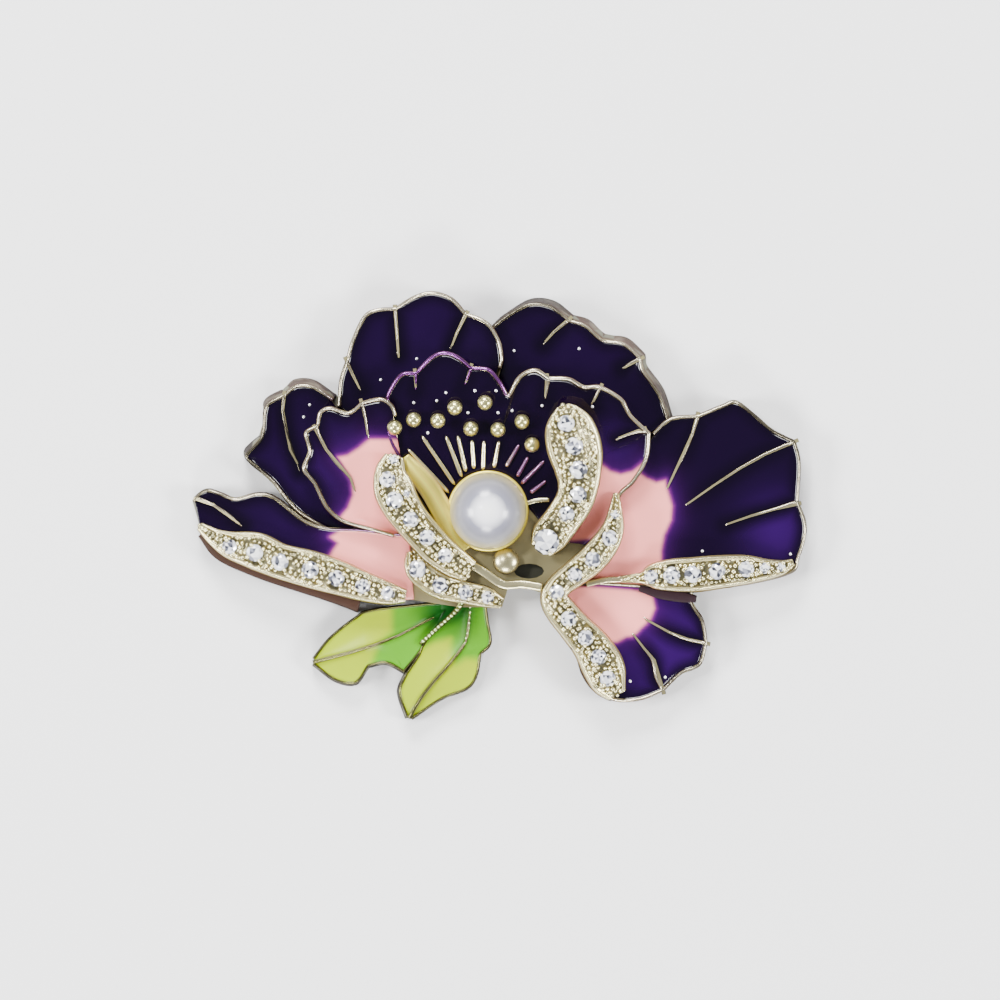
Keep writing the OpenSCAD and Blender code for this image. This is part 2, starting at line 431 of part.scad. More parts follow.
// A stone stands square to the floor of its channel.
module stone(set, i) {
    s = set[2][i];
    line = drawn_out(band_line(bands[set[1]]));
    near = nearest(line, s[0] * k, s[1] * k);
    before = line[max(near - 1, 0)];
    after = line[min(near + 1, len(line) - 1)];
    run = norm(flat(after) - flat(before));
    deep = min(channel, line[near][3] * 0.4);
    heading = atan2(after[1] - before[1], after[0] - before[0]);
    slope = atan2(after[2] - before[2], run);
    color(clear)
        translate(mid + [s[0] * k, s[1] * k, line[near][2] - deep + stone_gap])
            rotate([0, 0, heading]) rotate([0, -slope, 0]) cut_stone(s[2]);
}

pearl_at = [-1.2 * k, -0.6 * k, pearl_z];
module pearl()
    color("#f1eef0") translate(mid + pearl_at) sphere(d = pearl_d, $fn = 64);
// The cup that holds the pearl: its inside follows the pearl's underside.
cup_r = 4.0;
cup_top = pearl_z - 1.5;
cup_form = [[2.45, 1], [cup_r, 1], [cup_r, cup_top], [3.62, cup_top], [3.27, pearl_z - 2.2],
    [2.68, pearl_z - 2.85], [2.45, pearl_z - 3.0]];
module pearl_cup()
    translate([pearl_at[0], pearl_at[1], 0]) rotate_extrude($fn = 16) polygon(cup_form);

// Casting

// The plate under the pearl and the curls, its knob, and the pocket below the right curl.
heart_z = 2.8;
knob = [0.6, -5.6, 4.2];
knob_r = 1.25;
heart_line = [[-10.5, -9.2], [-10.2, 0.5], [-6, 5], [3, 5], [9.5, 4], [10.5, -4], [8.6, -7.6], [5.2, -9.2],
    [2.6, -8.2], [0.8, -8.3], [0.2, -10.2], [-4, -10.2]];
module heart()
    linear_extrude(heart_z) polygon(heart_line * k);
module heart_knob()
    translate([knob[0] * k, knob[1] * k, 1]) {
        cylinder(r = knob_r, h = knob[2] - 1, $fn = 10);
        translate([0, 0, knob[2] - 1.01]) cylinder(r1 = knob_r, r2 = knob_r * 0.4, h = 0.5, $fn = 10);
    }
module pocket()
    translate([2.9 * k, -6.6 * k, 1]) scale([1.5, 0.75, 1]) cylinder(r = 1, h = sky, $fn = 12);

module back_hollows()
    for (h = hollows)
        translate([h[0] * k, h[1] * k, 0])
            hull() {
                translate([0, 0, -1]) scale([h[2] * k, h[3] * k, 1]) cylinder(r = 1, h = 1.01, $fn = 12);
                scale([h[2] * k - h[4], h[3] * k - h[4], 1]) cylinder(r = 1, h = h[4], $fn = 12);
            }

// Works its children out together as one closed skin.
module one_skin() resize([0, 0, 0]) union() children();

module casting()
    color(gold) translate(mid) one_skin()
        difference() {
            union() {
                for (p = petals) body(p);
                for (i = [0 : len(veins) - 1])
                    for (line = veins[i]) vein(petals[i], line, vein_w, vein_h);
                heart();
                heart_knob();
                pearl_cup();
                for (b = bands) band(b, 1.5);
                for (b = plain) plain_band(b, 1.2);
                for (b = skirts) plain_band(b, 0);
            }
            pocket();
            back_hollows();
        }

// The enamel of some petals, clear of the petals and bands that stand over them.
module enamel(shade, own, above)
    color(shade) translate(mid) one_skin()
        difference() {
            union() for (i = own) coat(petals[i], own != [TOP_LEFT]);
            linear_extrude(sky) {
                offset(delta = gap) {
                    for (i = above) foot(petals[i]);
                    for (b = concat(bands, plain, skirts)) band_outline(b);
                }
                for (i = own) for (line = veins[i]) stroke(line, vein_w);
            }
            linear_extrude(heart_z + gap) offset(delta = gap) polygon(heart_line * k);
            if (own == [BOWL])
                translate([pearl_at[0], pearl_at[1], 0]) cylinder(r = cup_r + gap, h = sky, $fn = 16);
        }
module enamel_top_left() enamel("#241250", [TOP_LEFT], [BOWL, INNER_LEFT]);
module enamel_top_right() enamel("#241250", [TOP_RIGHT], [TOP_LEFT, BOWL, RIGHT]);
module enamel_far_left() enamel("#2b1360", [FAR_LEFT], [TOP_LEFT, INNER_LEFT, LOW_LEFT]);
module enamel_inner_left() enamel("#eab4b8", [INNER_LEFT], [BOWL]);
module enamel_low_left() enamel("#3a1760", [LOW_LEFT], [INNER_LEFT]);
module enamel_bowl() enamel("#2a1250", [BOWL], [INNER_LEFT]);
module enamel_right() enamel("#2f1568", [RIGHT], [BOWL]);
module enamel_low_right() enamel("#3d1a78", [LOW_RIGHT], [RIGHT]);
module enamel_leaf_left() enamel("#b8dc3a", LEAF_LEFT, [LOW_LEFT, LEAF_RIGHT[0]]);
module enamel_leaf_right() enamel("#8fcf3c", LEAF_RIGHT, [LOW_LEFT, LEAF_LEFT[1]]);

// Threads and balls, laid on the enamel of the bowl.
module stamens()
    color(gold) translate(mid) {
        for (t = threads) {
            a = above_bowl([t[0], t[1]] * k, thread_d / 2);
            b = above_bowl([t[2], t[3]] * k, thread_d / 2);
            run = b - a;
            translate(a) rotate([0, acos(run[2] / norm(run)), atan2(run[1], run[0])])
                cylinder(d = thread_d, h = norm(run), $fn = 24);
        }
        for (b = balls) translate(above_bowl(b * k, ball_d / 2)) sphere(d = ball_d, $fn = 32);
    }
function above_bowl(q, r) = [q[0], q[1], surface_z(petals[BOWL], q[0], q[1]) + r + stamen_gap];

// Bar, hinge end, needle and catch in one piece, inside the hollow back.
pin_len = 21;
bar_w = 4;
bar_t = 0.7;
needle_d = 0.8;
pin_at = [-1 * k, 4.5 * k, hollows[0][4] - gap];
module pin_back()
    color("#c9c2a0") translate(mid + pin_at) {
        translate([-pin_len / 2, -bar_w / 2, -bar_t]) cube([pin_len, bar_w, bar_t]);
        translate([-pin_len / 2, -1, -2]) cube([1.6, 2, 1.6]);
        translate([pin_len / 2 - 1.6, -1, -2]) cube([1.6, 2, 1.6]);
        translate([1 - pin_len / 2, 0, -1.5])
            rotate([0, 90, 0]) cylinder(d = needle_d, h = pin_len - 2, $fn = 24);
    }

casting();
enamel_top_left();
enamel_top_right();
enamel_far_left();
enamel_inner_left();
enamel_low_left();
enamel_bowl();
enamel_right();
enamel_low_right();
enamel_leaf_left();
enamel_leaf_right();
stamens();
pearl();
pin_back();
for (set = stone_sets)
    for (i = [0 : len(set[2]) - 1])
        stone(set, i);
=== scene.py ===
# %% [markdown]
# # An enamel flower brooch
# The brooch is one gold-toned casting: nine petals and two leaves with raised rims, glossy enamel poured
# between the rims, curled edges set with small cut stones, and a pearl among stamens. The solids come from
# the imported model. Here every visible surface is made again, finely, from the same short tables: a petal is
# its edge and its root, a curl is its middle line, and each becomes a surface swept along that line.

import math

import bpy
import numpy as np
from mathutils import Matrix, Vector


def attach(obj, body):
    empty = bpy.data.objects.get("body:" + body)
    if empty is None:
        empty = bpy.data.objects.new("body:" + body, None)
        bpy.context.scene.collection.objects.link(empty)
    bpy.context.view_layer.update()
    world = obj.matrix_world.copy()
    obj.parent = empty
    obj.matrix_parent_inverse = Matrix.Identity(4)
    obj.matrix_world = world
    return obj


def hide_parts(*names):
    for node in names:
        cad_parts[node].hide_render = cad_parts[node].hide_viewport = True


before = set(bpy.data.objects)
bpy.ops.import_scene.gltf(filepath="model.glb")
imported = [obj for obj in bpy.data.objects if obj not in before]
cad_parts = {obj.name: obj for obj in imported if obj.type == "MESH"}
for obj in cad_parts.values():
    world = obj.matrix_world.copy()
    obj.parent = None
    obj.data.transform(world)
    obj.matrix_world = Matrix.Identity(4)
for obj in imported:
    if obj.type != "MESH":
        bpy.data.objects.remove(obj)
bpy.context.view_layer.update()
MM = 0.001
SHIFT = np.array([0.046, 0.059, 0.0])

# %% [markdown]
# ## Petals in tables
# Each row of an edge is x, y, top and notch in millimetres, clockwise seen from the front. The top is the
# height of the rim above the table that the brooch lies on, and a notch of 1 marks a sharp turn of the edge.

# %% Edges and roots
EDGES = {
    "top_left": [
        (-16.2, 9.8, 3.3, 0), (-16.0, 12.5, 3.4, 0), (-15.3, 14.7, 3.3, 1), (-14.8, 16.5, 3.5, 0),
        (-13.6, 18.9, 3.6, 0), (-12.2, 19.6, 3.6, 0), (-10.5, 19.7, 3.4, 1), (-8.5, 20.9, 3.9, 0),
        (-6.7, 21.3, 4.0, 0), (-4.8, 20.7, 3.9, 0), (-3.4, 19.2, 3.5, 1), (-1.3, 18.3, 3.9, 0),
        (-0.1, 16.6, 3.9, 0), (0.3, 14.7, 3.9, 0), (0.1, 13.6, 3.8, 0)],
    "top_right": [
        (-1.2, 17.4, 2.9, 0), (0.3, 18.7, 3.1, 0), (2.8, 20.1, 3.3, 0), (5.1, 19.9, 3.3, 0),
        (7.0, 18.5, 3.0, 1), (8.6, 18.0, 3.2, 0), (10.2, 16.6, 3.1, 0), (12.4, 16.2, 3.2, 0),
        (14.1, 14.7, 2.9, 1), (14.4, 13.4, 3.0, 0), (16.0, 11.1, 3.0, 0), (16.9, 8.4, 3.0, 0)],
    "far_left": [
        (-15.4, -3.4, 2.85, 0), (-17.3, -2.5, 2.85, 0), (-20.4, -0.6, 2.8, 0), (-22.8, 2.3, 2.5, 0),
        (-25.0, 4.2, 2.3, 0), (-25.4, 5.1, 2.2, 0), (-23.9, 6.8, 2.5, 0), (-23.6, 9.2, 2.8, 0),
        (-23.2, 10.2, 2.8, 0), (-21.5, 11.1, 2.7, 1), (-20.4, 12.0, 3.0, 0), (-18.6, 11.9, 3.1, 0),
        (-16.6, 10.6, 3.1, 0)],
    "inner_left": [
        (-10.6, -3.2, 4.6, 0), (-13.0, -2.5, 4.7, 0), (-15.7, -1.7, 4.8, 0), (-17.4, -0.3, 4.9, 0),
        (-18.6, 2.1, 5.0, 0), (-19.7, 3.6, 5.0, 0), (-19.1, 5.4, 5.0, 0), (-19.5, 7.2, 5.1, 0),
        (-18.3, 8.0, 5.0, 1), (-18.0, 9.3, 5.3, 0), (-16.9, 9.8, 5.4, 0), (-15.1, 9.3, 5.3, 0),
        (-13.8, 10.3, 5.2, 1), (-11.9, 10.7, 5.6, 0), (-10.7, 10.0, 5.6, 0), (-10.3, 8.9, 5.4, 0)],
    "low_left": [
        (-30.7, 0.4, 2.1, 0), (-30.2, 1.1, 2.2, 0), (-29.2, 1.6, 2.4, 0), (-27.8, 1.2, 2.6, 0),
        (-26.4, 0.7, 2.6, 0), (-24.3, 1.2, 2.9, 0), (-22.4, 0.8, 3.1, 0), (-19.6, -1.4, 3.4, 0),
        (-17.3, -2.2, 3.5, 0), (-14.0, -2.35, 3.5, 0), (-9.0, -2.9, 3.5, 0)],
    "bowl": [
        (-10.0, 4.4, 4.4, 0), (-11.2, 7.0, 4.6, 0), (-11.4, 10.6, 4.9, 1), (-11.0, 11.6, 5.2, 0),
        (-9.9, 13.1, 5.6, 0), (-8.4, 13.3, 5.5, 1), (-6.9, 14.8, 6.1, 0), (-5.6, 15.3, 6.2, 0),
        (-4.2, 14.9, 6.1, 0), (-2.8, 13.8, 5.8, 1), (-1.1, 13.6, 6.1, 0), (0.1, 12.3, 6.0, 0),
        (0.8, 11.0, 5.6, 1), (1.9, 12.9, 6.0, 0), (3.5, 13.6, 6.2, 0), (4.9, 12.8, 5.9, 1),
        (6.9, 12.7, 6.0, 0), (8.4, 11.9, 5.8, 0), (10.0, 11.9, 5.7, 0), (12.2, 10.6, 5.6, 0),
        (13.1, 9.0, 5.3, 0), (15.0, 7.2, 5.1, 1), (14.7, 4.6, 4.9, 0), (13.4, 2.3, 4.7, 0),
        (12.0, 0.9, 4.5, 0), (11.2, -1.6, 4.4, 0), (8.8, -4.2, 4.3, 0)],
    "right": [
        (15.2, 7.2, 3.5, 0), (17.0, 8.7, 3.4, 0), (19.8, 9.0, 3.2, 1), (22.2, 10.0, 3.2, 0),
        (23.6, 10.4, 3.1, 0), (25.4, 9.1, 3.0, 0), (27.3, 7.5, 2.9, 0), (29.5, 6.4, 2.7, 1),
        (30.0, 4.2, 2.8, 0), (29.8, 0.4, 2.5, 1), (30.6, -2.2, 2.6, 0), (29.9, -5.2, 2.5, 0),
        (28.6, -7.0, 2.5, 0), (20.5, -8.4, 2.8, 0), (8.7, -7.9, 3.3, 0)],
    "low_right": [
        (19.5, -7.6, 2.6, 0), (19.2, -9.6, 2.6, 0), (20.3, -11.5, 2.7, 0), (20.7, -13.8, 2.5, 1),
        (20.0, -16.0, 2.6, 0), (18.1, -16.9, 2.5, 0), (16.3, -18.6, 2.4, 1), (13.9, -19.5, 2.5, 0),
        (11.3, -19.5, 2.6, 0), (9.1, -18.0, 2.8, 0), (8.3, -14.9, 3.0, 0), (6.4, -12.0, 3.2, 0),
        (5.3, -9.9, 3.4, 0)],
    "leaf_left_top": [
        (-18.7, -15.3, 1.6, 0), (-17.1, -13.3, 1.9, 0), (-14.6, -11.3, 2.1, 0), (-12.6, -10.4, 2.1, 0),
        (-5.2, -9.6, 2.2, 0)],
    "leaf_left_low": [
        (-6.2, -12.2, 2.3, 0), (-8.2, -15.0, 2.1, 0), (-9.6, -16.7, 1.9, 1), (-11.4, -15.8, 2.0, 0),
        (-13.1, -16.1, 1.9, 1), (-14.4, -17.8, 1.8, 0), (-16.5, -17.5, 1.7, 0), (-18.7, -15.9, 1.6, 0)],
    "leaf_right_left": [
        (-9.3, -21.3, 1.6, 0), (-10.1, -18.7, 1.8, 0), (-9.4, -16.8, 2.0, 1), (-8.2, -15.0, 2.1, 0),
        (-7.4, -13.4, 2.3, 0), (-4.6, -10.8, 2.4, 0), (-4.2, -9.6, 2.4, 0)],
    "leaf_right_right": [
        (-1.4, -9.6, 2.3, 0), (-1.2, -11.6, 2.3, 0), (-0.9, -13.8, 2.1, 0), (-1.9, -14.9, 2.0, 1),
        (-2.3, -17.1, 1.8, 0), (-3.3, -18.4, 1.8, 0), (-5.8, -19.4, 1.7, 0), (-8.8, -21.4, 1.6, 0)],
}
RIB_LEFT = [(-18.5, -15.6, 1.7, 0), (-15.2, -14.8, 2.2, 0), (-12.6, -14.0, 2.5, 0), (-10.1, -13.0, 2.6, 0),
            (-5.6, -10.6, 2.5, 0)]
RIB_RIGHT = [(-9.0, -21.1, 1.7, 0), (-7.9, -19.3, 2.1, 0), (-6.5, -17.5, 2.4, 0), (-4.9, -15.7, 2.6, 0),
             (-3.4, -13.6, 2.6, 0), (-3.0, -9.8, 2.5, 0)]
ROOTS = {
    "top_left": [(-9.0, 5.0, 3.6, 0), (-2.0, 6.0, 3.8, 0)],
    "top_right": [(-0.5, 6.5, 3.0, 0), (8.0, 3.0, 3.3, 0)],
    "far_left": [(-12.5, 1.0, 3.0, 0), (-12.2, 4.0, 3.2, 0)],
    "inner_left": [(-9.6, -2.6, 4.2, 0), (-9.9, 0.0, 4.2, 0), (-9.6, 3.0, 4.4, 0)],
    "low_left": [(-29.9, -2.6, 1.9, 0), (-27.8, -4.5, 2.4, 0), (-24.6, -6.4, 2.8, 0), (-20.4, -7.6, 3.0, 0),
                 (-16.1, -8.8, 3.1, 0), (-12.6, -9.6, 3.2, 0), (-8.6, -9.4, 3.2, 0)],
    "bowl": [(-5.2, -1.2, 3.9, 0), (-3.6, 1.8, 3.9, 0), (-1.6, 2.6, 3.9, 0), (0.4, 1.8, 4.0, 0),
             (1.8, 0.0, 4.1, 0), (5.6, -3.6, 4.2, 0)],
    "right": [(10.6, 0.2, 3.4, 0), (11.0, -2.4, 3.4, 0), (9.2, -5.2, 3.3, 0)],
    "low_right": [(11.4, -7.6, 3.2, 0), (8.6, -8.0, 3.4, 0), (6.4, -8.4, 3.4, 0)],
    "leaf_left_top": RIB_LEFT, "leaf_left_low": RIB_LEFT[::-1],
    "leaf_right_left": RIB_RIGHT, "leaf_right_right": RIB_RIGHT[::-1],
}
# How much a petal dips between root and rim, how steeply it rises, which way its wall leans outwards, the
# height of the lowest part of its wall, and its share of the full rim's width.
FORM = {
    "top_left": (-0.25, 1, (0, 0), 0, 0.9), "top_right": (-0.2, 1, (0.35, 0.5), 0, 0.8),
    "far_left": (-0.25, 1, (0, 0.6), 0, 0.8), "inner_left": (-0.3, 1, (0, 0), 2.6, 0.9),
    "low_left": (0, 1, (0, 0), 0, 0.8), "bowl": (0, 1.5, (0, 0), 2.6, 0.95),
    "right": (-0.3, 1, (0, 0), 0, 0.8), "low_right": (-0.2, 1, (0, 0), 0, 0.8),
    "leaf_left_top": (-0.1, 1, (0, 0), 0, 0.55), "leaf_left_low": (-0.1, 1, (0, -0.2), 0, 0.55),
    "leaf_right_left": (-0.1, 1, (-0.2, 0), 0, 0.55), "leaf_right_right": (-0.1, 1, (0, -0.1), 0, 0.55),
}
print("petals", len(EDGES), "rows", sum(len(r) for r in EDGES.values()))

# %% [markdown]
# ## A smooth line through rows
# A Catmull-Rom curve passes through every row, so the table is what is seen. At a notch the tangents are
# broken, which leaves the sharp turn where two lobes of a petal meet.


# %% Lines
def smooth(rows, steps):
    """Between rows b and c, with a and d beside them, the point at t is
    b + (c - a) t / 2 + (2a - 5b + 4c - d) t^2 / 2 + (3b - a - 3c + d) t^3 / 2."""
    r = np.array([row[:3] for row in rows], float)
    notch = np.array([len(row) > 3 and row[3] == 1 for row in rows])
    b, c = r[:-1], r[1:]
    a = np.vstack([2 * b[:1] - c[:1], r[:-2]])
    d = np.vstack([r[2:], 2 * c[-1:] - b[-1:]])
    a = np.where(notch[:-1, None], 2 * b - c, a)
    d = np.where(notch[1:, None], 2 * c - b, d)
    t = (np.arange(steps) / steps)[None, :, None]
    a, b, c, d = (q[:, None, :] for q in (a, b, c, d))
    line = b + (c - a) * t / 2 + (2 * a - 5 * b + 4 * c - d) * t**2 / 2 + (3 * b - a - 3 * c + d) * t**3 / 2
    return np.vstack([line.reshape(-1, 3), r[-1:]])


def lengths(line):
    """The distance walked along a line to each of its points."""
    return np.concatenate([[0], np.cumsum(np.linalg.norm(np.diff(line, axis=0), axis=1))])


def even(line, gap):
    """The same line with points a steady gap apart."""
    walk = lengths(line)
    at = np.linspace(0, walk[-1], max(3, int(walk[-1] / gap) + 1))
    return np.stack([np.interp(at, walk, line[:, i]) for i in range(line.shape[1])], axis=1)


def right_hand(line):
    """The unit vector to the right of a line at each point: its flat tangent (tx, ty) becomes (ty, -tx)."""
    t = np.gradient(line[:, :2], axis=0)
    t /= np.linalg.norm(t, axis=1)[:, None]
    return np.stack([t[:, 1], -t[:, 0]], axis=1)


print("bowl edge", round(lengths(smooth(EDGES["bowl"], 8))[-1], 1), "mm")

# %% [markdown]
# ## From sections to a closed piece
# Most pieces are sweeps: a closed section is worked out for every point of a line, all as one array, and
# neighbouring sections are joined by quads. Two fans close the ends. The sign of the enclosed volume says
# whether the faces point outwards, and if they don't, they are turned.


# %% Sweeps
def to_mesh(name, points, faces, smooth_faces=True):
    """Points in millimetres and a list of face arrays, each (n, corners), become an object at the origin."""
    mesh = bpy.data.meshes.new(name)
    points = (np.asarray(points) + SHIFT) * MM
    corners = np.concatenate([f.ravel() for f in faces]).astype(np.int32)
    totals = np.concatenate([np.full(len(f), f.shape[1]) for f in faces]).astype(np.int32)
    starts = np.concatenate([[0], np.cumsum(totals)[:-1]]).astype(np.int32)
    mesh.vertices.add(len(points))
    mesh.vertices.foreach_set("co", points.astype(np.float32).ravel())
    mesh.loops.add(len(corners))
    mesh.loops.foreach_set("vertex_index", corners)
    mesh.polygons.add(len(totals))
    mesh.polygons.foreach_set("loop_start", starts)
    mesh.polygons.foreach_set("use_smooth", np.full(len(totals), smooth_faces))
    mesh.update(calc_edges=True)
    mesh.validate()
    thing = bpy.data.objects.new(name, mesh)
    bpy.context.scene.collection.objects.link(thing)
    return thing


def volume(points, faces):
    """Sum of a . (b x c) / 6 over the triangles: positive when the faces point outwards."""
    tris = [np.stack([f[:, 0], f[:, i], f[:, i + 1]], 1) for f in faces for i in range(1, f.shape[1] - 1)]
    tris = np.vstack(tris)
    a, b, c = (points[tris[:, i]] for i in range(3))
    return float(np.einsum("ij,ij->i", a, np.cross(b, c)).sum() / 6)


def sweep(sections):
    """Sections (n, k, 3) become points and faces: quads between neighbours, and a fan on each end."""
    n, k, _ = sections.shape
    i, j = np.meshgrid(np.arange(n - 1), np.arange(k), indexing="ij")
    a, b = i * k + j, i * k + (j + 1) % k
    quads = np.stack([a, b, b + k, a + k], -1).reshape(-1, 4)
    first, last = n * k, n * k + 1
    ring = np.arange(k)
    ends = np.vstack([
        np.stack([np.full(k, first), (ring + 1) % k, ring], 1),
        np.stack([np.full(k, last), (n - 1) * k + ring, (n - 1) * k + (ring + 1) % k], 1)])
    points = np.vstack([sections.reshape(-1, 3), sections[0].mean(0), sections[-1].mean(0)])
    faces = [quads, ends]
    if volume(points, faces) < 0:
        faces = [f[:, ::-1] for f in faces]
    return points, faces


def joined(parts):
    """Several (points, faces) as one, with the face numbers moved on."""
    points, faces, start = [], [], 0
    for p, fs in parts:
        points.append(p)
        faces += [f + start for f in fs]
        start += len(p)
    return np.vstack(points), faces


def store(thing, name, colours, domain="POINT"):
    """Keeps a colour for each point, or for each face corner, where the materials can read it by name."""
    layer = thing.data.attributes.new(name, "FLOAT_COLOR", domain)
    colours = np.hstack([colours, np.ones((len(colours), 1))])
    layer.data.foreach_set("color", colours.astype(np.float32).ravel())


def piece(name, points, faces, finish, slot, replaces=(), smooth_faces=True):
    """A finished piece: mesh, material and body; the slot is not used."""
    thing = to_mesh(name, points, faces, smooth_faces)
    thing.data.materials.append(finish)
    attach(thing, "root")
    if replaces:
        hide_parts(*replaces)
    print(name, sum(len(f) * (f.shape[1] - 2) for f in faces), "triangles")
    return thing


# %% [markdown]
# ## Finishes
# The metal is a pale gold plating. The tops of rims and curls keep the bright gold, and the walls are painted
# brown as shade. A group gives the share of wall from the slope of the surface, and a second one gives the
# fine unevenness of a cast and plated skin.


# %% Node groups
def group(name, inputs, outputs):
    """An empty node group with named float inputs (name, default) and named outputs (name, type)."""
    tree = bpy.data.node_groups.new(name, "ShaderNodeTree")
    for label, value in inputs:
        tree.interface.new_socket(label, in_out="INPUT", socket_type="NodeSocketFloat").default_value = value
    for label, kind in outputs:
        tree.interface.new_socket(label, in_out="OUTPUT", socket_type=kind)
    return tree, tree.nodes.new("NodeGroupInput"), tree.nodes.new("NodeGroupOutput")


def slope_group():
    """Wall = (high - nz) / (high - low), kept in 0 to 1: 1 where upright and 0 where the surface faces up."""
    tree, inp, out = group("slope", [("Low", 0.1), ("High", 0.6)], [("Wall", "NodeSocketFloat")])
    geometry = tree.nodes.new("ShaderNodeNewGeometry")
    split = tree.nodes.new("ShaderNodeSeparateXYZ")
    ramp = tree.nodes.new("ShaderNodeMapRange")
    ramp.inputs["To Min"].default_value = 1
    ramp.inputs["To Max"].default_value = 0
    tree.links.new(geometry.outputs["Normal"], split.inputs[0])
    tree.links.new(split.outputs["Z"], ramp.inputs["Value"])
    tree.links.new(inp.outputs["Low"], ramp.inputs["From Min"])
    tree.links.new(inp.outputs["High"], ramp.inputs["From Max"])
    tree.links.new(ramp.outputs["Result"], out.inputs["Wall"])
    return tree


def cast_group():
    """Fine noise of a cast skin: Height for a bump and Rough, a roughness that wanders around Base."""
    tree, inp, out = group("cast_skin", [("Scale", 900), ("Base", 0.2), ("Spread", 0.12)],
                           [("Height", "NodeSocketFloat"), ("Rough", "NodeSocketFloat")])
    place = tree.nodes.new("ShaderNodeTexCoord")
    noise = tree.nodes.new("ShaderNodeTexNoise")
    noise.inputs["Detail"].default_value = 3
    spread = tree.nodes.new("ShaderNodeMath")
    spread.operation = "MULTIPLY_ADD"
    tree.links.new(place.outputs["Object"], noise.inputs["Vector"])
    tree.links.new(inp.outputs["Scale"], noise.inputs["Scale"])
    tree.links.new(noise.outputs["Fac"], spread.inputs[0])
    tree.links.new(inp.outputs["Spread"], spread.inputs[1])
    tree.links.new(inp.outputs["Base"], spread.inputs[2])
    tree.links.new(noise.outputs["Fac"], out.inputs["Height"])
    tree.links.new(spread.outputs[0], out.inputs["Rough"])
    return tree


SLOPE, CAST = slope_group(), cast_group()

# %% [markdown]
# ## Gold in several states
# One recipe makes all the metals. A rim is bright on its crest only, with painted shade on its slopes, a band
# is bright all over, the body is dull with painted shade where it lies deep, and a wall is painted dark brown
# as shade. Only the numbers differ.


# %% Metal
def placed(nodes, tree, **values):
    """A group placed in a material with its own values."""
    node = nodes.new("ShaderNodeGroup")
    node.node_tree = tree
    for label, value in values.items():
        node.inputs[label].default_value = value
    return node


# The mix node has a set of sockets for every kind of value. These are the factor and those for colours.
MIX_FACTOR, MIX_A, MIX_B, MIX_RESULT = 0, 6, 7, 2


def mixed(nodes, links, factor, a, b, kind="MIX"):
    """The mix of two colours, each a socket or three numbers, by a factor, a socket or a number."""
    mix = nodes.new("ShaderNodeMix")
    mix.data_type, mix.blend_type = "RGBA", kind
    for value, number in ((factor, MIX_FACTOR), (a, MIX_A), (b, MIX_B)):
        if isinstance(value, bpy.types.NodeSocket):
            links.new(value, mix.inputs[number])
        else:
            mix.inputs[number].default_value = value if number == MIX_FACTOR else (*value, 1)
    return mix.outputs[MIX_RESULT]


def begun(name):
    """A new material, its nodes and links, and its shader."""
    mat = bpy.data.materials.new(name)
    mat.use_nodes = True
    return mat, mat.node_tree.nodes, mat.node_tree.links, mat.node_tree.nodes["Principled BSDF"]


def stored(nodes, name):
    """The colour that a piece keeps under a name."""
    node = nodes.new("ShaderNodeAttribute")
    node.attribute_name = name
    return node.outputs["Color"]


def faded(nodes, links, low, high):
    """1 at the low height and below, 0 at the high one and above, in metres."""
    place = nodes.new("ShaderNodeTexCoord")
    split = nodes.new("ShaderNodeSeparateXYZ")
    fall = nodes.new("ShaderNodeMapRange")
    fall.inputs["From Min"].default_value, fall.inputs["From Max"].default_value = low, high
    fall.inputs["To Min"].default_value, fall.inputs["To Max"].default_value = 1, 0
    links.new(place.outputs["Object"], split.inputs[0])
    links.new(split.outputs["Z"], fall.inputs["Value"])
    return fall.outputs["Result"]


def bumped(nodes, links, shader, height, strength, distance):
    """Bends the shader's normal by a height."""
    bump = nodes.new("ShaderNodeBump")
    bump.inputs["Strength"].default_value = strength
    bump.inputs["Distance"].default_value = distance
    links.new(height, bump.inputs["Height"])
    links.new(bump.outputs["Normal"], shader.inputs["Normal"])


# Painted shade in the body's recesses, from the deep heights down.
RECESS_SHADE = (0.15, 0.15, 0.11)


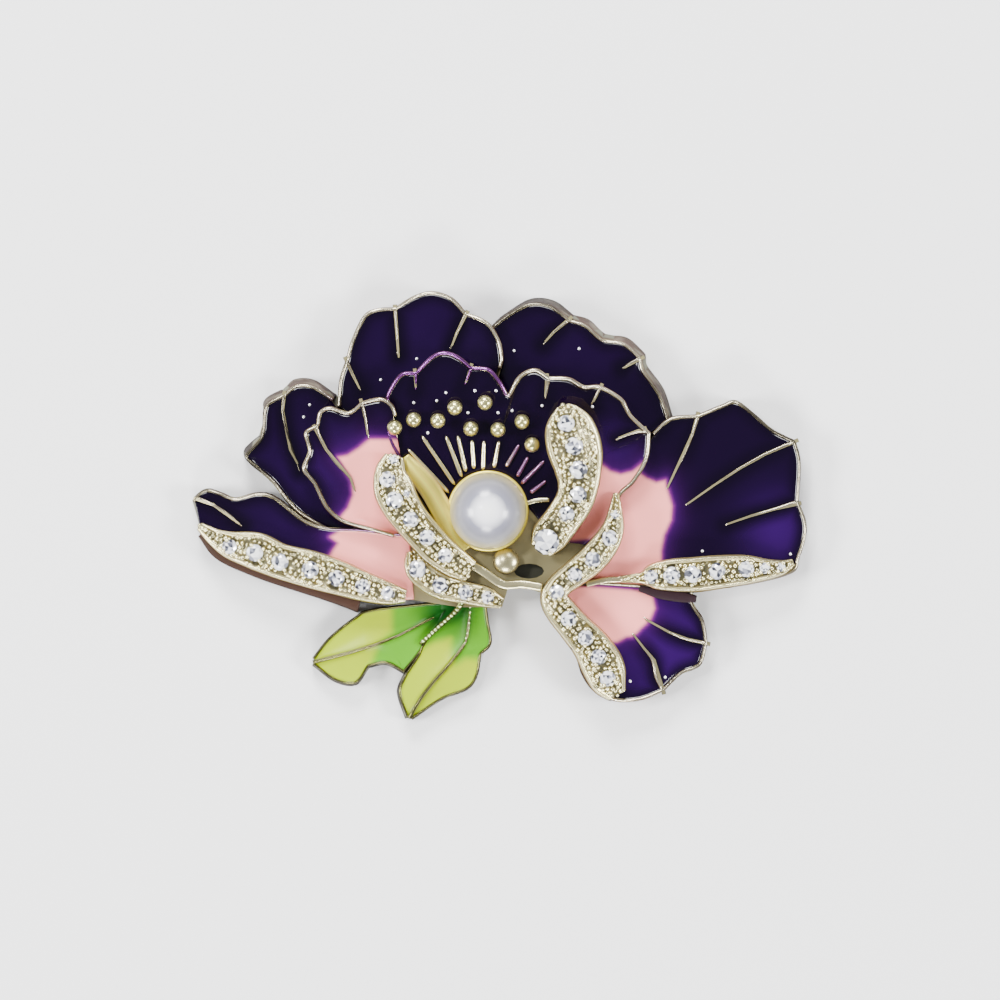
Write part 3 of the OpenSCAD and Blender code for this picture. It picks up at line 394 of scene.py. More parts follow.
def metal(name, bright, dark, rough, low=0.05, high=0.55, metallic=0.9, shaded=True, wear=0.0, deep=None):
    """Bright tops and walls painted brown as shade: two colours mixed by slope, with worn spots where wear is
    above 0. A steep wall isn't metallic and is rough, because its plating is dull. A shaded metal is
    multiplied by its piece's own "shade". With deep, painted shade darkens the metal from the second height
    down to the first, in metres."""
    mat, nodes, links, shader = begun(name)
    slope = placed(nodes, SLOPE, Low=low, High=high)
    skin = placed(nodes, CAST, Scale=700, Base=rough, Spread=0.12)
    spots = placed(nodes, CAST, Scale=520, Base=-0.9 * wear, Spread=1.8 * wear)
    wall_shade_and_wear = nodes.new("ShaderNodeMath")
    wall_shade_and_wear.operation, wall_shade_and_wear.use_clamp = "ADD", True
    steep = nodes.new("ShaderNodeMapRange")
    steep.inputs["From Min"].default_value = 0.6
    dull = nodes.new("ShaderNodeMath")
    dull.operation = "MULTIPLY_ADD"
    dull.inputs[1].default_value = -metallic
    dull.inputs[2].default_value = metallic
    matt = nodes.new("ShaderNodeMath")
    matt.operation = "MULTIPLY_ADD"
    matt.inputs[1].default_value = 0.5
    links.new(slope.outputs["Wall"], wall_shade_and_wear.inputs[0])
    links.new(spots.outputs["Rough"], wall_shade_and_wear.inputs[1])
    # The dark colour on walls is painted shade, mixed with random worn spots.
    colour = mixed(nodes, links, wall_shade_and_wear.outputs[0], bright, dark)
    if shaded:
        colour = mixed(nodes, links, 1, colour, stored(nodes, "shade"), "MULTIPLY")
    if deep:
        colour = mixed(nodes, links, faded(nodes, links, *deep), colour, RECESS_SHADE)
    links.new(colour, shader.inputs["Base Color"])
    links.new(slope.outputs["Wall"], steep.inputs["Value"])
    links.new(steep.outputs["Result"], dull.inputs[0])
    links.new(dull.outputs[0], shader.inputs["Metallic"])
    links.new(steep.outputs["Result"], matt.inputs[0])
    links.new(skin.outputs["Rough"], matt.inputs[2])
    links.new(matt.outputs[0], shader.inputs["Roughness"])
    bumped(nodes, links, shader, skin.outputs["Height"], 0.2, 0.00005)
    shader.inputs["Specular IOR Level"].default_value = 0.2
    return mat


# Each metal's second colour is painted shade on its steep walls, and BROWN is the darkest of them.
BROWN = (0.06, 0.028, 0.016)
BAND_GOLD = metal("band_gold", (0.82, 0.75, 0.43), (0.26, 0.19, 0.07), 0.2, wear=0.2)
YELLOW_GOLD = metal("yellow_gold", (0.97, 0.84, 0.14), (0.42, 0.30, 0.03), 0.25, 0.3, 0.97, 0.6, wear=0.2)
RIM_GOLD = metal("rim_gold", (0.78, 0.70, 0.50), BROWN, 0.16, 0.45, 0.98, metallic=0.9, wear=0.5)
GRAIN_GOLD = metal("grain_gold", (0.92, 0.85, 0.50), (0.34, 0.27, 0.09), 0.16, -0.2, 0.7)
GLINT = metal("glint", (0.95, 0.95, 0.97), (0.1, 0.08, 0.12), 0.12, 0.2, 0.8, metallic=0.6, shaded=False)
BODY_GOLD = metal("body_gold", (0.66, 0.58, 0.30), BROWN, 0.25, 0.3, 0.8, shaded=False, wear=0.3,
                  deep=(0.0015, 0.0030))
# The skirts are painted near-black brown as shade on the walls.
PAINTED_SHADE_WALL = metal("painted_shade_wall", (0.05, 0.022, 0.013), (0.02, 0.01, 0.008), 0.5, 0.2, 0.95, 0.0, wear=0.3)
PIN_METAL = metal("pin_metal", (0.55, 0.54, 0.50), (0.4, 0.38, 0.33), 0.3, shaded=False)


# %% [markdown]
# ## Enamel
# The enamel is opaque glass-like resin. Its colour changes across a petal: nearly black along rims and veins,
# which is painted shade beside the raised metal, violet in the middle of each lobe, a line of purple, then
# pink.
# These follow the petal, so they are worked out for each point of the sheet and stored as an attribute that
# the material reads.


# %% Enamel finish
def enamel(name, rough=0.07, gloss=0.5):
    """The sheet's own colour attribute, a little cloudiness, and a clear gloss."""
    mat, nodes, links, shader = begun(name)
    shader.inputs["IOR"].default_value = 1.42
    shader.inputs["Specular IOR Level"].default_value = gloss
    skin = placed(nodes, CAST, Scale=260, Base=rough, Spread=0.05)
    wave = placed(nodes, CAST, Scale=330, Base=0, Spread=1)
    links.new(stored(nodes, "tint"), shader.inputs["Base Color"])
    links.new(skin.outputs["Rough"], shader.inputs["Roughness"])
    bumped(nodes, links, shader, wave.outputs["Height"], 0.25, 0.00012)
    return mat


ENAMEL, LEAF_ENAMEL = enamel("enamel"), enamel("leaf_enamel", 0.22, 0.2)


def step_up(x, a, b):
    """0 below a, 1 above b, and 3t^2 - 2t^3 between."""
    t = np.clip((x - a) / (b - a), 0, 1)
    return t * t * (3 - 2 * t)


# %% [markdown]
# ## Distances
# Two measures shape the colours: how far a point is from a line of metal, and how deep it lies inside the
# pink area, which is a polygon on the petal.


# %% Distances
def to_line(points, line):
    """The least flat distance from each point to the stretches of a line."""
    a, b = line[:-1, :2], line[1:, :2]
    ab = b - a
    ap = points[:, None, :2] - a[None]
    t = np.clip((ap * ab).sum(-1) / np.maximum((ab**2).sum(-1), 1e-12), 0, 1)
    return np.sqrt(((ap - t[..., None] * ab) ** 2).sum(-1)).min(1)


def depth_in(points, corners):
    """The distance to a polygon's border, positive inside it (a ray to the right crosses the border an odd
    number of times)."""
    c = np.array(corners, float)
    d = np.roll(c, -1, axis=0)
    x, y = points[:, 0, None], points[:, 1, None]
    over = (c[:, 1] > y) != (d[:, 1] > y)
    rise = np.where(d[:, 1] == c[:, 1], 1e-9, d[:, 1] - c[:, 1])
    inside = (over & (x < (d[:, 0] - c[:, 0]) * (y - c[:, 1]) / rise + c[:, 0])).sum(1) % 2 == 1
    return to_line(points, np.vstack([c, c[:1]])) * np.where(inside, 1, -1)


# %% [markdown]
# ## Veins
# A vein is a thread of metal left standing in the enamel. It starts at the rim and thins out inwards.

# %% Veins
VEINS = {
    "top_left": [[(-15.4, 14.7), (-14.7, 13.0), (-13.9, 11.4)], [(-10.5, 19.7), (-10.3, 17.6), (-10.2, 15.0)],
                 [(-3.4, 19.2), (-4.1, 17.6), (-5.0, 15.5)]],
    "top_right": [[(7.0, 18.5), (5.4, 17.3), (4.3, 16.0)], [(14.1, 14.7), (12.9, 14.1), (12.2, 13.6)]],
    "far_left": [[(-21.5, 11.1), (-21.7, 9.4), (-21.2, 7.0), (-20.4, 4.6), (-20.0, 3.4)]],
    "inner_left": [[(-18.3, 8.0), (-18.0, 6.8), (-17.3, 5.5), (-16.2, 4.0), (-14.9, 2.6), (-14.4, 1.3)],
                   [(-13.8, 10.3), (-13.4, 8.6), (-13.1, 6.6)]],
    "low_left": [[(-30.4, 0.8), (-28.6, 0.0), (-27.0, -1.0), (-25.8, -2.1)]],
    "bowl": [[(-8.4, 13.3), (-8.4, 11.5)], [(-2.8, 13.8), (-3.5, 12.0)], [(4.9, 12.8), (4.5, 10.6)],
             [(10.1, 11.9), (9.1, 10.0)], [(15.0, 7.3), (13.4, 7.2), (11.5, 6.5)]],
    "right": [[(19.8, 9.0), (19.2, 7.1), (18.4, 5.1), (17.4, 3.2), (16.6, 1.6)],
              [(29.5, 6.4), (26.5, 5.1), (24.0, 3.7), (21.4, 2.0), (18.5, 0.0)],
              [(29.8, 0.4), (27.4, -0.4), (25.0, -1.1), (22.5, -2.0)]],
    "low_right": [[(20.7, -13.8), (18.7, -13.4), (16.9, -12.7), (14.3, -11.2)],
                  [(16.3, -18.6), (15.6, -17.2), (15.2, -15.5), (14.3, -14.2), (13.2, -12.8)]],
    "leaf_left_top": [[(-18.6, -15.7), (-15.2, -14.8), (-12.6, -14.0), (-10.1, -13.0), (-6.6, -11.2)]],
    "leaf_left_low": [],
    "leaf_right_left": [[(-9.1, -21.3), (-7.9, -19.3), (-6.5, -17.5), (-4.9, -15.7), (-3.4, -13.6),
                         (-3.0, -10.6)]],
    "leaf_right_right": [],
}

# %% [markdown]
# ## Colours by place
# The pink areas, drawn as polygons around where the petals turn pink, and the yellow parts of the leaves.

# %% Colour areas
PINK = {
    "inner_left": [(-9.0, 6.6), (-11.2, 6.6), (-13.0, 6.6), (-14.1, 5.7), (-15.2, 5.0), (-16.2, 4.8),
                   (-14.8, 2.4), (-14.7, 1.0), (-15.2, -0.3), (-15.9, -1.1), (-16.2, -4.0), (-8.0, -4.0)],
    "low_left": [(-17.0, -3.2), (-16.2, -3.8), (-16.8, -4.7), (-17.4, -5.6), (-17.4, -9.0), (-8.0, -11.0),
                 (-8.0, -2.0), (-15.4, -2.0)],
    "bowl": [(9.3, 4.4), (10.2, 4.0), (11.0, 3.4), (12.0, 3.1), (13.2, 3.4), (14.2, 4.2), (15.5, 3.5),
             (13.0, -3.0), (4.0, -4.0), (8.5, 1.0)],
    "right": [(14.0, 3.2), (14.7, 2.7), (15.6, 2.3), (16.5, 2.5), (16.8, 1.3), (17.2, -0.1), (17.1, -1.5),
              (16.4, -3.0), (16.1, -4.6), (16.3, -8.5), (8.0, -9.5), (9.0, -3.0), (11.0, 1.0)],
    "low_right": [(15.2, -8.6), (15.5, -10.3), (15.0, -11.5), (14.1, -12.3), (13.4, -13.1), (12.6, -13.2),
                  (11.7, -13.7), (9.0, -14.0), (5.0, -9.0), (8.0, -8.0)],
}
YELLOW = {
    "leaf_left": [(-10.9, -9.0), (-10.9, -12.6), (-12.2, -13.8), (-13.2, -16.4), (-13.0, -19.0),
                  (-21.0, -18.0), (-20.0, -10.0)],
    "leaf_right": [(-5.0, -13.4), (-6.6, -13.8), (-9.0, -14.8), (-12.0, -20.0), (-8.0, -23.0), (-1.0, -20.0),
                   (-1.4, -15.6), (-3.4, -15.4), (-4.4, -16.0), (-4.9, -15.0)],
}
# Where the violet is brightest: x, y, how far it reaches, and how strongly.
SHINE = {
    "top_left": (-7.0, 15.5, 7.0, 0.22), "top_right": (8.0, 14.5, 6.0, 0.15),
    "far_left": (-19.5, 3.0, 6.0, 0.35), "inner_left": (-16.6, 4.0, 4.0, 0.5),
    "low_left": (-21.0, -2.0, 5.0, 0.25), "bowl": (11.3, 5.8, 2.2, 0.9),
    "right": (27.6, -2.4, 3.4, 1.0), "low_right": (16.5, -14.0, 7.0, 1.1),
}
NIGHT, VIOLET = np.array([0.0020, 0.0004, 0.0052]), np.array([0.0150, 0.0008, 0.046])
PURPLE, MAGENTA = np.array([0.045, 0.0025, 0.095]), np.array([0.17, 0.025, 0.17])
PALE_PINK = np.array([0.98, 0.32, 0.29])
GREEN, LEAF_GREEN = np.array([0.007, 0.075, 0.008]), np.array([0.085, 0.30, 0.008])
LIME = np.array([0.33, 0.43, 0.0001])


def petal_tint(name, points, metal_lines):
    """Night turns to violet away from the metal and near the brightest place, exp(-(distance / reach)^2), and
    the night kept along the metal is painted shade. PURPLE and MAGENTA rise towards the pink's border, and
    the pink is painted a little darker near the metal, as shade."""
    near = np.min([to_line(points, line) for line in metal_lines], axis=0)
    x, y, reach, strength = SHINE[name]
    far = np.hypot(points[:, 0] - x, points[:, 1] - y)
    # The glow stays 0 along the metal, which keeps painted shade there.
    glow = step_up(near, 0.1, 1.8) * (0.1 + strength * np.exp(-(far / reach) ** 2))
    tint = NIGHT + (VIOLET - NIGHT) * glow[:, None]
    if name in PINK:
        deep = depth_in(points, PINK[name])
        lift = np.exp(-np.clip(-deep, 0, None) / 0.8)[:, None] * 0.85
        tint = tint + (PURPLE - tint) * lift
        tint = tint + (MAGENTA - tint) * step_up(deep, -0.5, 0.05)[:, None] * 0.7
        # The pink is painted a little darker near the metal, as shade.
        soft = PALE_PINK * (1 - 0.10 * np.exp(-np.clip(near, 0, None) / 0.5))[:, None]
        tint = tint + (soft - tint) * step_up(deep, -0.15, 0.35)[:, None]
    return tint


def leaf_tint(leaf, points, metal_lines):
    """Green at the base, lime outwards, with a short soft border between them, and painted shade near the
    metal.
    """
    base = np.array([-4.5, -10.2]) if leaf == "leaf_right" else np.array([-6.0, -10.8])
    far = np.linalg.norm(points[:, :2] - base, axis=1)
    near = np.min([to_line(points, line) for line in metal_lines], axis=0)
    tint = GREEN + (LEAF_GREEN - GREEN) * step_up(far, 0.3, 4.2)[:, None]
    tint = tint + (LIME - tint) * step_up(depth_in(points, YELLOW[leaf]), -0.7, 0.5)[:, None]
    # Darker near the metal: painted shade.
    return tint * (0.55 + 0.45 * step_up(near, 0.0, 0.5))[:, None]


# %% [markdown]
# ## The petals' surfaces
# A petal is a ruled surface between its root and its rim, pressed down a little in the middle. The enamel
# creeps up where it touches metal, as any liquid does, and that thin curved border catches the light.

# %% Petal surfaces
# The full rim's width, the enamel's depth below it, curve steps between rows, and the gap along an edge.
RIM, SINK, STEPS, EDGE_GAP = 0.35, 0.08, 12, 0.16


def petal(name):
    """Edge and root of a petal, with the root sampled at the same share of its length as the edge."""
    edge = even(smooth(EDGES[name], STEPS), EDGE_GAP)
    root = smooth(ROOTS[name], STEPS)
    walk = lengths(edge)
    at = walk / walk[-1] * (len(root) - 1)
    root = np.stack([np.interp(at, np.arange(len(root)), root[:, i]) for i in range(3)], 1)
    return edge, root


def kept_narrow(edge, root, width):
    """A width, or 0.4 of the petal's depth at each point of its edge where that is less."""
    return np.minimum(width, 0.4 * np.linalg.norm(edge[:, :2] - root[:, :2], axis=1))


def moved_in(edge, root, width):
    """The edge moved to its right by a width, or by a share of the petal's depth where that is less."""
    inner = edge.copy()
    inner[:, :2] += right_hand(edge) * kept_narrow(edge, root, width)[:, None]
    return inner


def evened(rows, reach):
    """Each row becomes the mean of the rows up to `reach` before and after it."""
    wide = np.pad(rows, ((reach + 1, reach), (0, 0)), mode="edge").cumsum(0)
    return (wide[2 * reach + 1:] - wide[:-2 * reach - 1]) / (2 * reach + 1)


def sheet_top(name, start=0.0, gap=0.2):
    """At share v from root a to inner edge b: a + (b - a) v, the rise bent by v^power, minus a dip of
    4 v (1 - v), minus the sink below the rim. Neighbouring rows are evened out, more so towards the root,
    and a thin rise of exp(-distance / 0.12 mm) climbs the rim."""
    edge, root = petal(name)
    dip, power, _, _, share = FORM[name]
    inner = moved_in(edge, root, RIM * share + 0.02)
    deep = np.linalg.norm(inner - root, axis=1).max()
    count = max(6, int(deep * (1 - start) / gap))
    v = start + (1 - start) * np.linspace(0, 1, count) ** 0.85
    v = np.unique(np.concatenate([v, 1 - np.array([0.03, 0.08, 0.16, 0.28]) / deep]))[None, :, None]
    a, b = root[:, None, :], inner[:, None, :]
    top = a + (b - a) * v
    rise = (b[..., 2:] - a[..., 2:]) * (v**power - v) + dip * 4 * v * (1 - v) - SINK
    off = (1 - v) * np.linalg.norm(b - a, axis=2, keepdims=True)
    top[..., 2:] += rise
    top[..., 2] += (evened(top[..., 2], 12) - top[..., 2]) * (1 - v[..., 0]) ** 0.5
    top[..., 2:] += 0.09 * np.exp(-off / 0.12)
    return top


def height_on(top, points, neighbours=4):
    """The height of a sheet at flat places: the mean of its nearest points, weighed by 1 / distance^2."""
    flat, z = top[..., :2].reshape(-1, 2), top[..., 2].ravel()
    far = ((points[:, None, :2] - flat[None]) ** 2).sum(-1)
    near = np.argpartition(far, neighbours, axis=1)[:, :neighbours]
    pull = 1 / (np.take_along_axis(far, near, 1) + 1e-4)
    return (z[near] * pull).sum(1) / pull.sum(1)


TOPS = {name: sheet_top(name) for name in EDGES}
print("sheet of the bowl", TOPS["bowl"].shape)

# %% [markdown]
# ## Veins stand on the sheet
# In the casting a vein is a low wall that the enamel is poured against. A ridge with a small rounded section
# follows the sheet's height, so it stands out evenly all along.

# %% Veins as ridges
RIDGE_SHAPE = np.array([(-1, -1), (-0.85, -0.1), (-0.5, 0.7), (0, 1), (0.5, 0.7), (0.85, -0.1), (1, -1)])


def ridge(line, width, rise, foot):
    """The ridge's section along a line: across times half the width to the side, up times the rise, or times
    the foot where it is negative. Width and rise may change along the line."""
    across, up = RIDGE_SHAPE[None, :, :1], RIDGE_SHAPE[None, :, 1]
    out = np.pad(right_hand(line), ((0, 0), (0, 1)))[:, None, :]
    sections = line[:, None, :] + out * across * np.broadcast_to(width, len(line))[:, None, None] / 2
    lift = np.where(up > 0, up * np.broadcast_to(rise, len(line))[:, None], up * foot)
    sections[..., 2] += lift
    return sweep(sections)


def vein(name, rows):
    """A ridge on the petal's sheet that is widest and highest at the rim and sinks away at its inner end."""
    line = even(smooth([(x, y, 0, 0) for x, y in rows], 10), 0.15)
    line = line[0 if name.startswith("leaf") else 2:]
    line[:, 2] = height_on(TOPS[name], line)
    s = np.linspace(0, 1, len(line))
    return ridge(line, 0.44 - 0.22 * s, 0.17 * (1 - s**3) + 0.005, 0.5)


# %% [markdown]
# ## Enamel in one pour
# Every node of enamel is one pour. A leaf has two halves beside its rib, so its piece is made of two sheets.
# The sheet is closed below, where it lies in the metal, and its colours are stored once it is whole.

# %% Enamel sheets
def coat(name, start):
    """The sheet closed below: each section runs along the top and back 0.5 mm lower at the root and 0.6 mm
    lower at the rim."""
    top = sheet_top(name, start)
    low = np.stack([top[:, 0] - [0, 0, 0.5], top[:, -1] - [0, 0, 0.6]], 1)
    sections = np.concatenate([top, low[:, ::-1]], axis=1)
    return sweep(sections)


def enamelled(node, parts, start=0.0):
    """One enamel piece from the sheets of its parts, with its colours stored on its points."""
    points, faces = joined([coat(p, start) for p in parts])
    lines = [petal(p)[0] for p in parts]
    lines += [smooth([(x, y, 0, 0) for x, y in rows], 6) for p in parts for rows in VEINS[p]]
    tint = leaf_tint(node, points, lines) if node in YELLOW else petal_tint(node, points, lines)
    slot = "green_enamel" if node in YELLOW else "pink_enamel" if node == "inner_left" else "violet_enamel"
    finish = LEAF_ENAMEL if node in YELLOW else ENAMEL
    store(piece(node + "_enamel", points, faces, finish, slot, replaces=["enamel_" + node]), "tint", tint)


for node, parts, start in [
        ("top_left", ["top_left"], 0.25), ("top_right", ["top_right"], 0.3), ("far_left", ["far_left"], 0.1),
        ("inner_left", ["inner_left"], 0), ("low_left", ["low_left"], 0), ("bowl", ["bowl"], 0.05),
        ("right", ["right"], 0), ("low_right", ["low_right"], 0),
        ("leaf_left", ["leaf_left_top", "leaf_left_low"], 0),
        ("leaf_right", ["leaf_right_left", "leaf_right_right"], 0)]:
    enamelled(node, parts, start)

# %% [markdown]
# ## Rims
# The rim is the bright line around each petal. It is swept as one closed strip with the wall below it, so the
# flared wall that the photo shows past some rims is there too, and its brown is painted shade.

# %% Rims and walls
HOLLOWS = np.array([(-1, 4.5, 14.5, 8, 2.2), (-1.5, 13, 12, 4.5, 2.0), (22.0, 0, 6.5, 6, 1.5)])


def floor_at(points, least):
    """How low metal reaches: the table, or just inside the ceiling where the back is hollow."""
    x, y = points[..., 0, None], points[..., 1, None]
    inside = ((x - HOLLOWS[:, 0]) / HOLLOWS[:, 2]) ** 2 + ((y - HOLLOWS[:, 1]) / HOLLOWS[:, 3]) ** 2 < 1.1
    return np.maximum(np.where(inside, HOLLOWS[:, 4] + 0.1, 0.015).max(-1), least)


# Section of a rim: share of its width inwards of the edge, and height above the edge in millimetres.
RIM_SHAPE = np.array([(-0.12, -0.25), (-0.10, -0.08), (0.04, 0.02), (0.22, 0.07), (0.38, 0.1), (0.6, 0.1),
                      (0.76, 0.07), (0.96, 0.02), (1.08, -0.1), (1.1, -0.3)])


def rim(name):
    """Sections of foot, wall, rounded rim and inner foot. Each point lies its own distance inwards of the
    edge, and the foot lies outside it by the lean's part along the outward direction, at least 0.08 mm."""
    edge, root = petal(name)
    _, _, lean, least, share = FORM[name]
    inwards = right_hand(edge)
    width = kept_narrow(edge, root, RIM * share)[:, None]
    flat = edge[:, None, :2] + inwards[:, None, :] * (RIM_SHAPE[None, :, 0] * width)[..., None]
    z = edge[:, None, 2] + RIM_SHAPE[None, :, 1]
    body = np.concatenate([flat, z[..., None]], -1)
    flare = np.maximum(0.05, -inwards @ np.array(lean))[:, None] + 0.03
    foot = np.concatenate([edge[:, :2] - inwards * flare, floor_at(edge, least)[:, None]], 1)[:, None, :]
    inner = np.concatenate([body[:, -1, :2], floor_at(body[:, -1], least)[:, None]], 1)[:, None, :]
    return sweep(np.concatenate([foot, body, inner], 1))


# How bright the rim is along the edge, as share of its length and brightness: painted highlight and shade
# that change along each rim.
RIM_LIGHT_AND_SHADE = {
    "top_left": [(0, 0.5), (0.25, 0.6), (0.4, 1), (0.75, 0.9), (1, 1)],
    "top_right": [(0, 0.35), (0.3, 0.3), (0.42, 0.9), (0.75, 0.9), (0.85, 0.5), (1, 0.4)],
    "far_left": [(0, 0.5), (0.1, 0.7), (0.2, 1.2), (0.33, 0.8), (0.42, 0.2), (0.62, 0.25), (0.75, 0.6),
                 (1, 0.9)],
    "inner_left": [(0, 0.9), (0.3, 0.6), (0.6, 0.8), (1, 0.9)],
    "low_left": [(0, 0.6), (0.08, 0.3), (0.18, 0.9), (0.28, 0.8), (0.36, 0.35), (0.5, 0.5), (0.7, 0.8),
                 (1, 0.6)],
    "bowl": [(0, 0.8), (0.5, 0.9), (0.6, 1.1), (1, 0.8)],
    "right": [(0, 1), (0.15, 0.8), (0.22, 0.25), (0.38, 0.3), (0.5, 0.6), (0.66, 0.9), (1, 0.8)],
    "low_right": [(0, 0.4), (0.4, 0.5), (0.5, 1.3), (0.62, 1.3), (1, 0.9)],
}
VEIN_SHADE = {
    "top_left": 0.45, "top_right": 0.6, "far_left": 0.18, "inner_left": 0.7, "low_left": 0.6, "bowl": 0.6,
    "right": 0.75, "low_right": 0.9}
MAUVE, OLIVE = np.array([0.42, 0.15, 0.8]), np.array([0.24, 0.27, 0.12])


def shaded(name, points, faces, light):
    """A rim or veins with their brightness, which along a rim is painted highlight and shade. The bowl's are
    mauve left of its middle notch, and so are the ends of the left petals' rims, where enamel has run over
    them. A leaf's metal is dark olive."""
    thing = piece(name, points, faces, RIM_GOLD, "gold")
    x = points[:, 0]
    mauve = 1 - step_up(x, 0.3, 1.3) if name.startswith("bowl") else 0 * x
    if name.startswith("low_left") or name.startswith("far_left"):
        mauve = step_up(x, -18.5, -15.5) * 0.8
    shade = np.broadcast_to(light, len(points))[:, None] * (1 + (MAUVE - 1) * mauve[:, None])
    store(thing, "shade", shade * OLIVE if name.startswith("leaf") else shade)


for name in EDGES:
    points, faces = rim(name)
    count = len(RIM_SHAPE) + 2
    share = np.linspace(0, 1, (len(points) - 2) // count)
    light = np.repeat(np.interp(share, *np.array(RIM_LIGHT_AND_SHADE.get(name, [(0, 1), (1, 1)])).T), count)
    shaded(name + "_rim", points, faces, np.append(light, light[[0, -1]]))
for name, lines in VEINS.items():
    if lines:
        shaded(name + "_veins", *joined([vein(name, rows) for rows in lines]), VEIN_SHADE.get(name, 1))

# %% [markdown]
# ## Curls and borders
# The curled edges are raised bands with a rail on either side and a row of stones between. Each row of a
# table is x, y, top and half width along the middle of the band.

# %% Band tables
BANDS = {
    "border_low_left": [
        (-30.0, -2.1, 2.3, 0.35), (-28.5, -3.2, 2.9, 0.8), (-26.8, -4.0, 3.4, 1.3),
        (-24.3, -4.6, 3.8, 1.75), (-21.9, -5.6, 4.1, 1.65), (-18.9, -6.4, 4.3, 1.75),
        (-16.2, -7.2, 4.4, 1.65), (-13.6, -8.1, 4.4, 1.4), (-11.1, -8.8, 4.3, 1.05),
        (-9.4, -9.1, 4.2, 0.6)],
    "border_right": [
        (12.0, -7.4, 3.7, 0.3), (14.0, -7.3, 4.0, 0.5), (15.2, -7.1, 4.2, 1.15), (17.1, -7.0, 4.2, 1.5),
        (19.2, -6.95, 4.1, 1.6), (21.6, -6.7, 3.9, 1.55), (24.5, -6.45, 3.6, 1.35),
        (26.6, -6.4, 3.3, 0.95), (28.2, -6.2, 3.0, 0.65), (29.3, -5.7, 2.8, 0.3)],
    "curl_right": [
        (6.3, 9.9, 7.0, 0.6), (6.5, 9.3, 7.3, 1.4), (6.8, 8.2, 7.6, 2.2), (7.2, 6.6, 7.9, 2.55),
        (7.6, 5.0, 8.1, 2.5), (7.8, 3.5, 8.2, 2.2), (7.8, 1.9, 8.1, 1.9), (7.3, 0.2, 7.8, 1.75),
        (6.1, -1.6, 7.2, 1.7), (4.9, -3.2, 6.7, 1.7), (4.2, -4.3, 6.4, 1.2)],
    "hook": [
        (11.6, 1.2, 5.0, 0.25), (11.5, -0.6, 5.9, 0.65), (11.3, -2.2, 6.3, 1.0),
        (10.6, -3.7, 6.4, 1.25), (9.2, -5.4, 6.3, 1.35), (7.5, -6.8, 6.0, 1.25), (6.0, -8.0, 5.7, 1.15),
        (5.4, -9.2, 5.4, 1.25), (6.0, -10.4, 5.1, 1.4), (7.5, -12.2, 4.8, 1.5), (9.1, -14.0, 4.5, 1.75),
        (10.2, -15.9, 4.2, 1.95), (10.9, -17.6, 3.8, 1.7), (11.7, -19.0, 3.3, 0.9)],
    "curl_left": [
        (-10.5, 4.9, 6.6, 0.9), (-10.9, 3.3, 6.9, 1.5), (-10.6, 1.7, 7.1, 1.9), (-9.9, 0.1, 7.1, 1.85),
        (-8.8, -1.5, 7.0, 1.7), (-7.6, -2.9, 6.8, 1.65), (-6.2, -4.4, 6.5, 1.6),
        (-4.5, -5.7, 6.1, 1.45), (-2.9, -6.6, 5.6, 1.1)],
    "border_under": [
        (-8.5, -4.6, 5.2, 0.8), (-8.2, -6.4, 5.6, 1.15), (-6.1, -8.0, 5.5, 1.2),
        (-3.5, -8.7, 5.2, 1.05), (-1.3, -9.2, 4.9, 0.95), (0.2, -9.8, 4.5, 0.5)],
}
PLAIN = {
    "curl_left_face": [
        (-9.5, 4.8, 5.6, 0.45), (-8.4, 3.3, 5.7, 0.85), (-7.0, 1.55, 5.6, 1.0),
        (-5.6, -0.95, 5.45, 1.05), (-4.6, -3.0, 5.3, 0.8), (-3.6, -4.6, 5.2, 0.9)],
    "ridge_under_pearl": [
        (-3.4, -5.6, 5.2, 0.35), (-1.6, -6.7, 5.1, 0.4), (0.3, -7.9, 5.0, 0.4), (2.2, -7.9, 5.0, 0.35),
        (4.2, -8.2, 5.1, 0.35)],
    "rim_by_pearl": [(2.6, 0.15, 4.9, 0.16), (3.7, 0.45, 5.0, 0.18), (4.9, 0.5, 5.1, 0.16)],
    "hook_border": [(8.6, -7.9, 3.9, 0.25), (10.5, -7.5, 3.9, 0.25), (12.2, -7.4, 3.9, 0.25)],
    "leaf_stem": [
        (-8.0, -13.9, 2.5, 0.12), (-6.4, -12.4, 2.8, 0.17), (-4.4, -10.6, 3.2, 0.22),
        (-3.6, -9.4, 3.5, 0.25)],
}
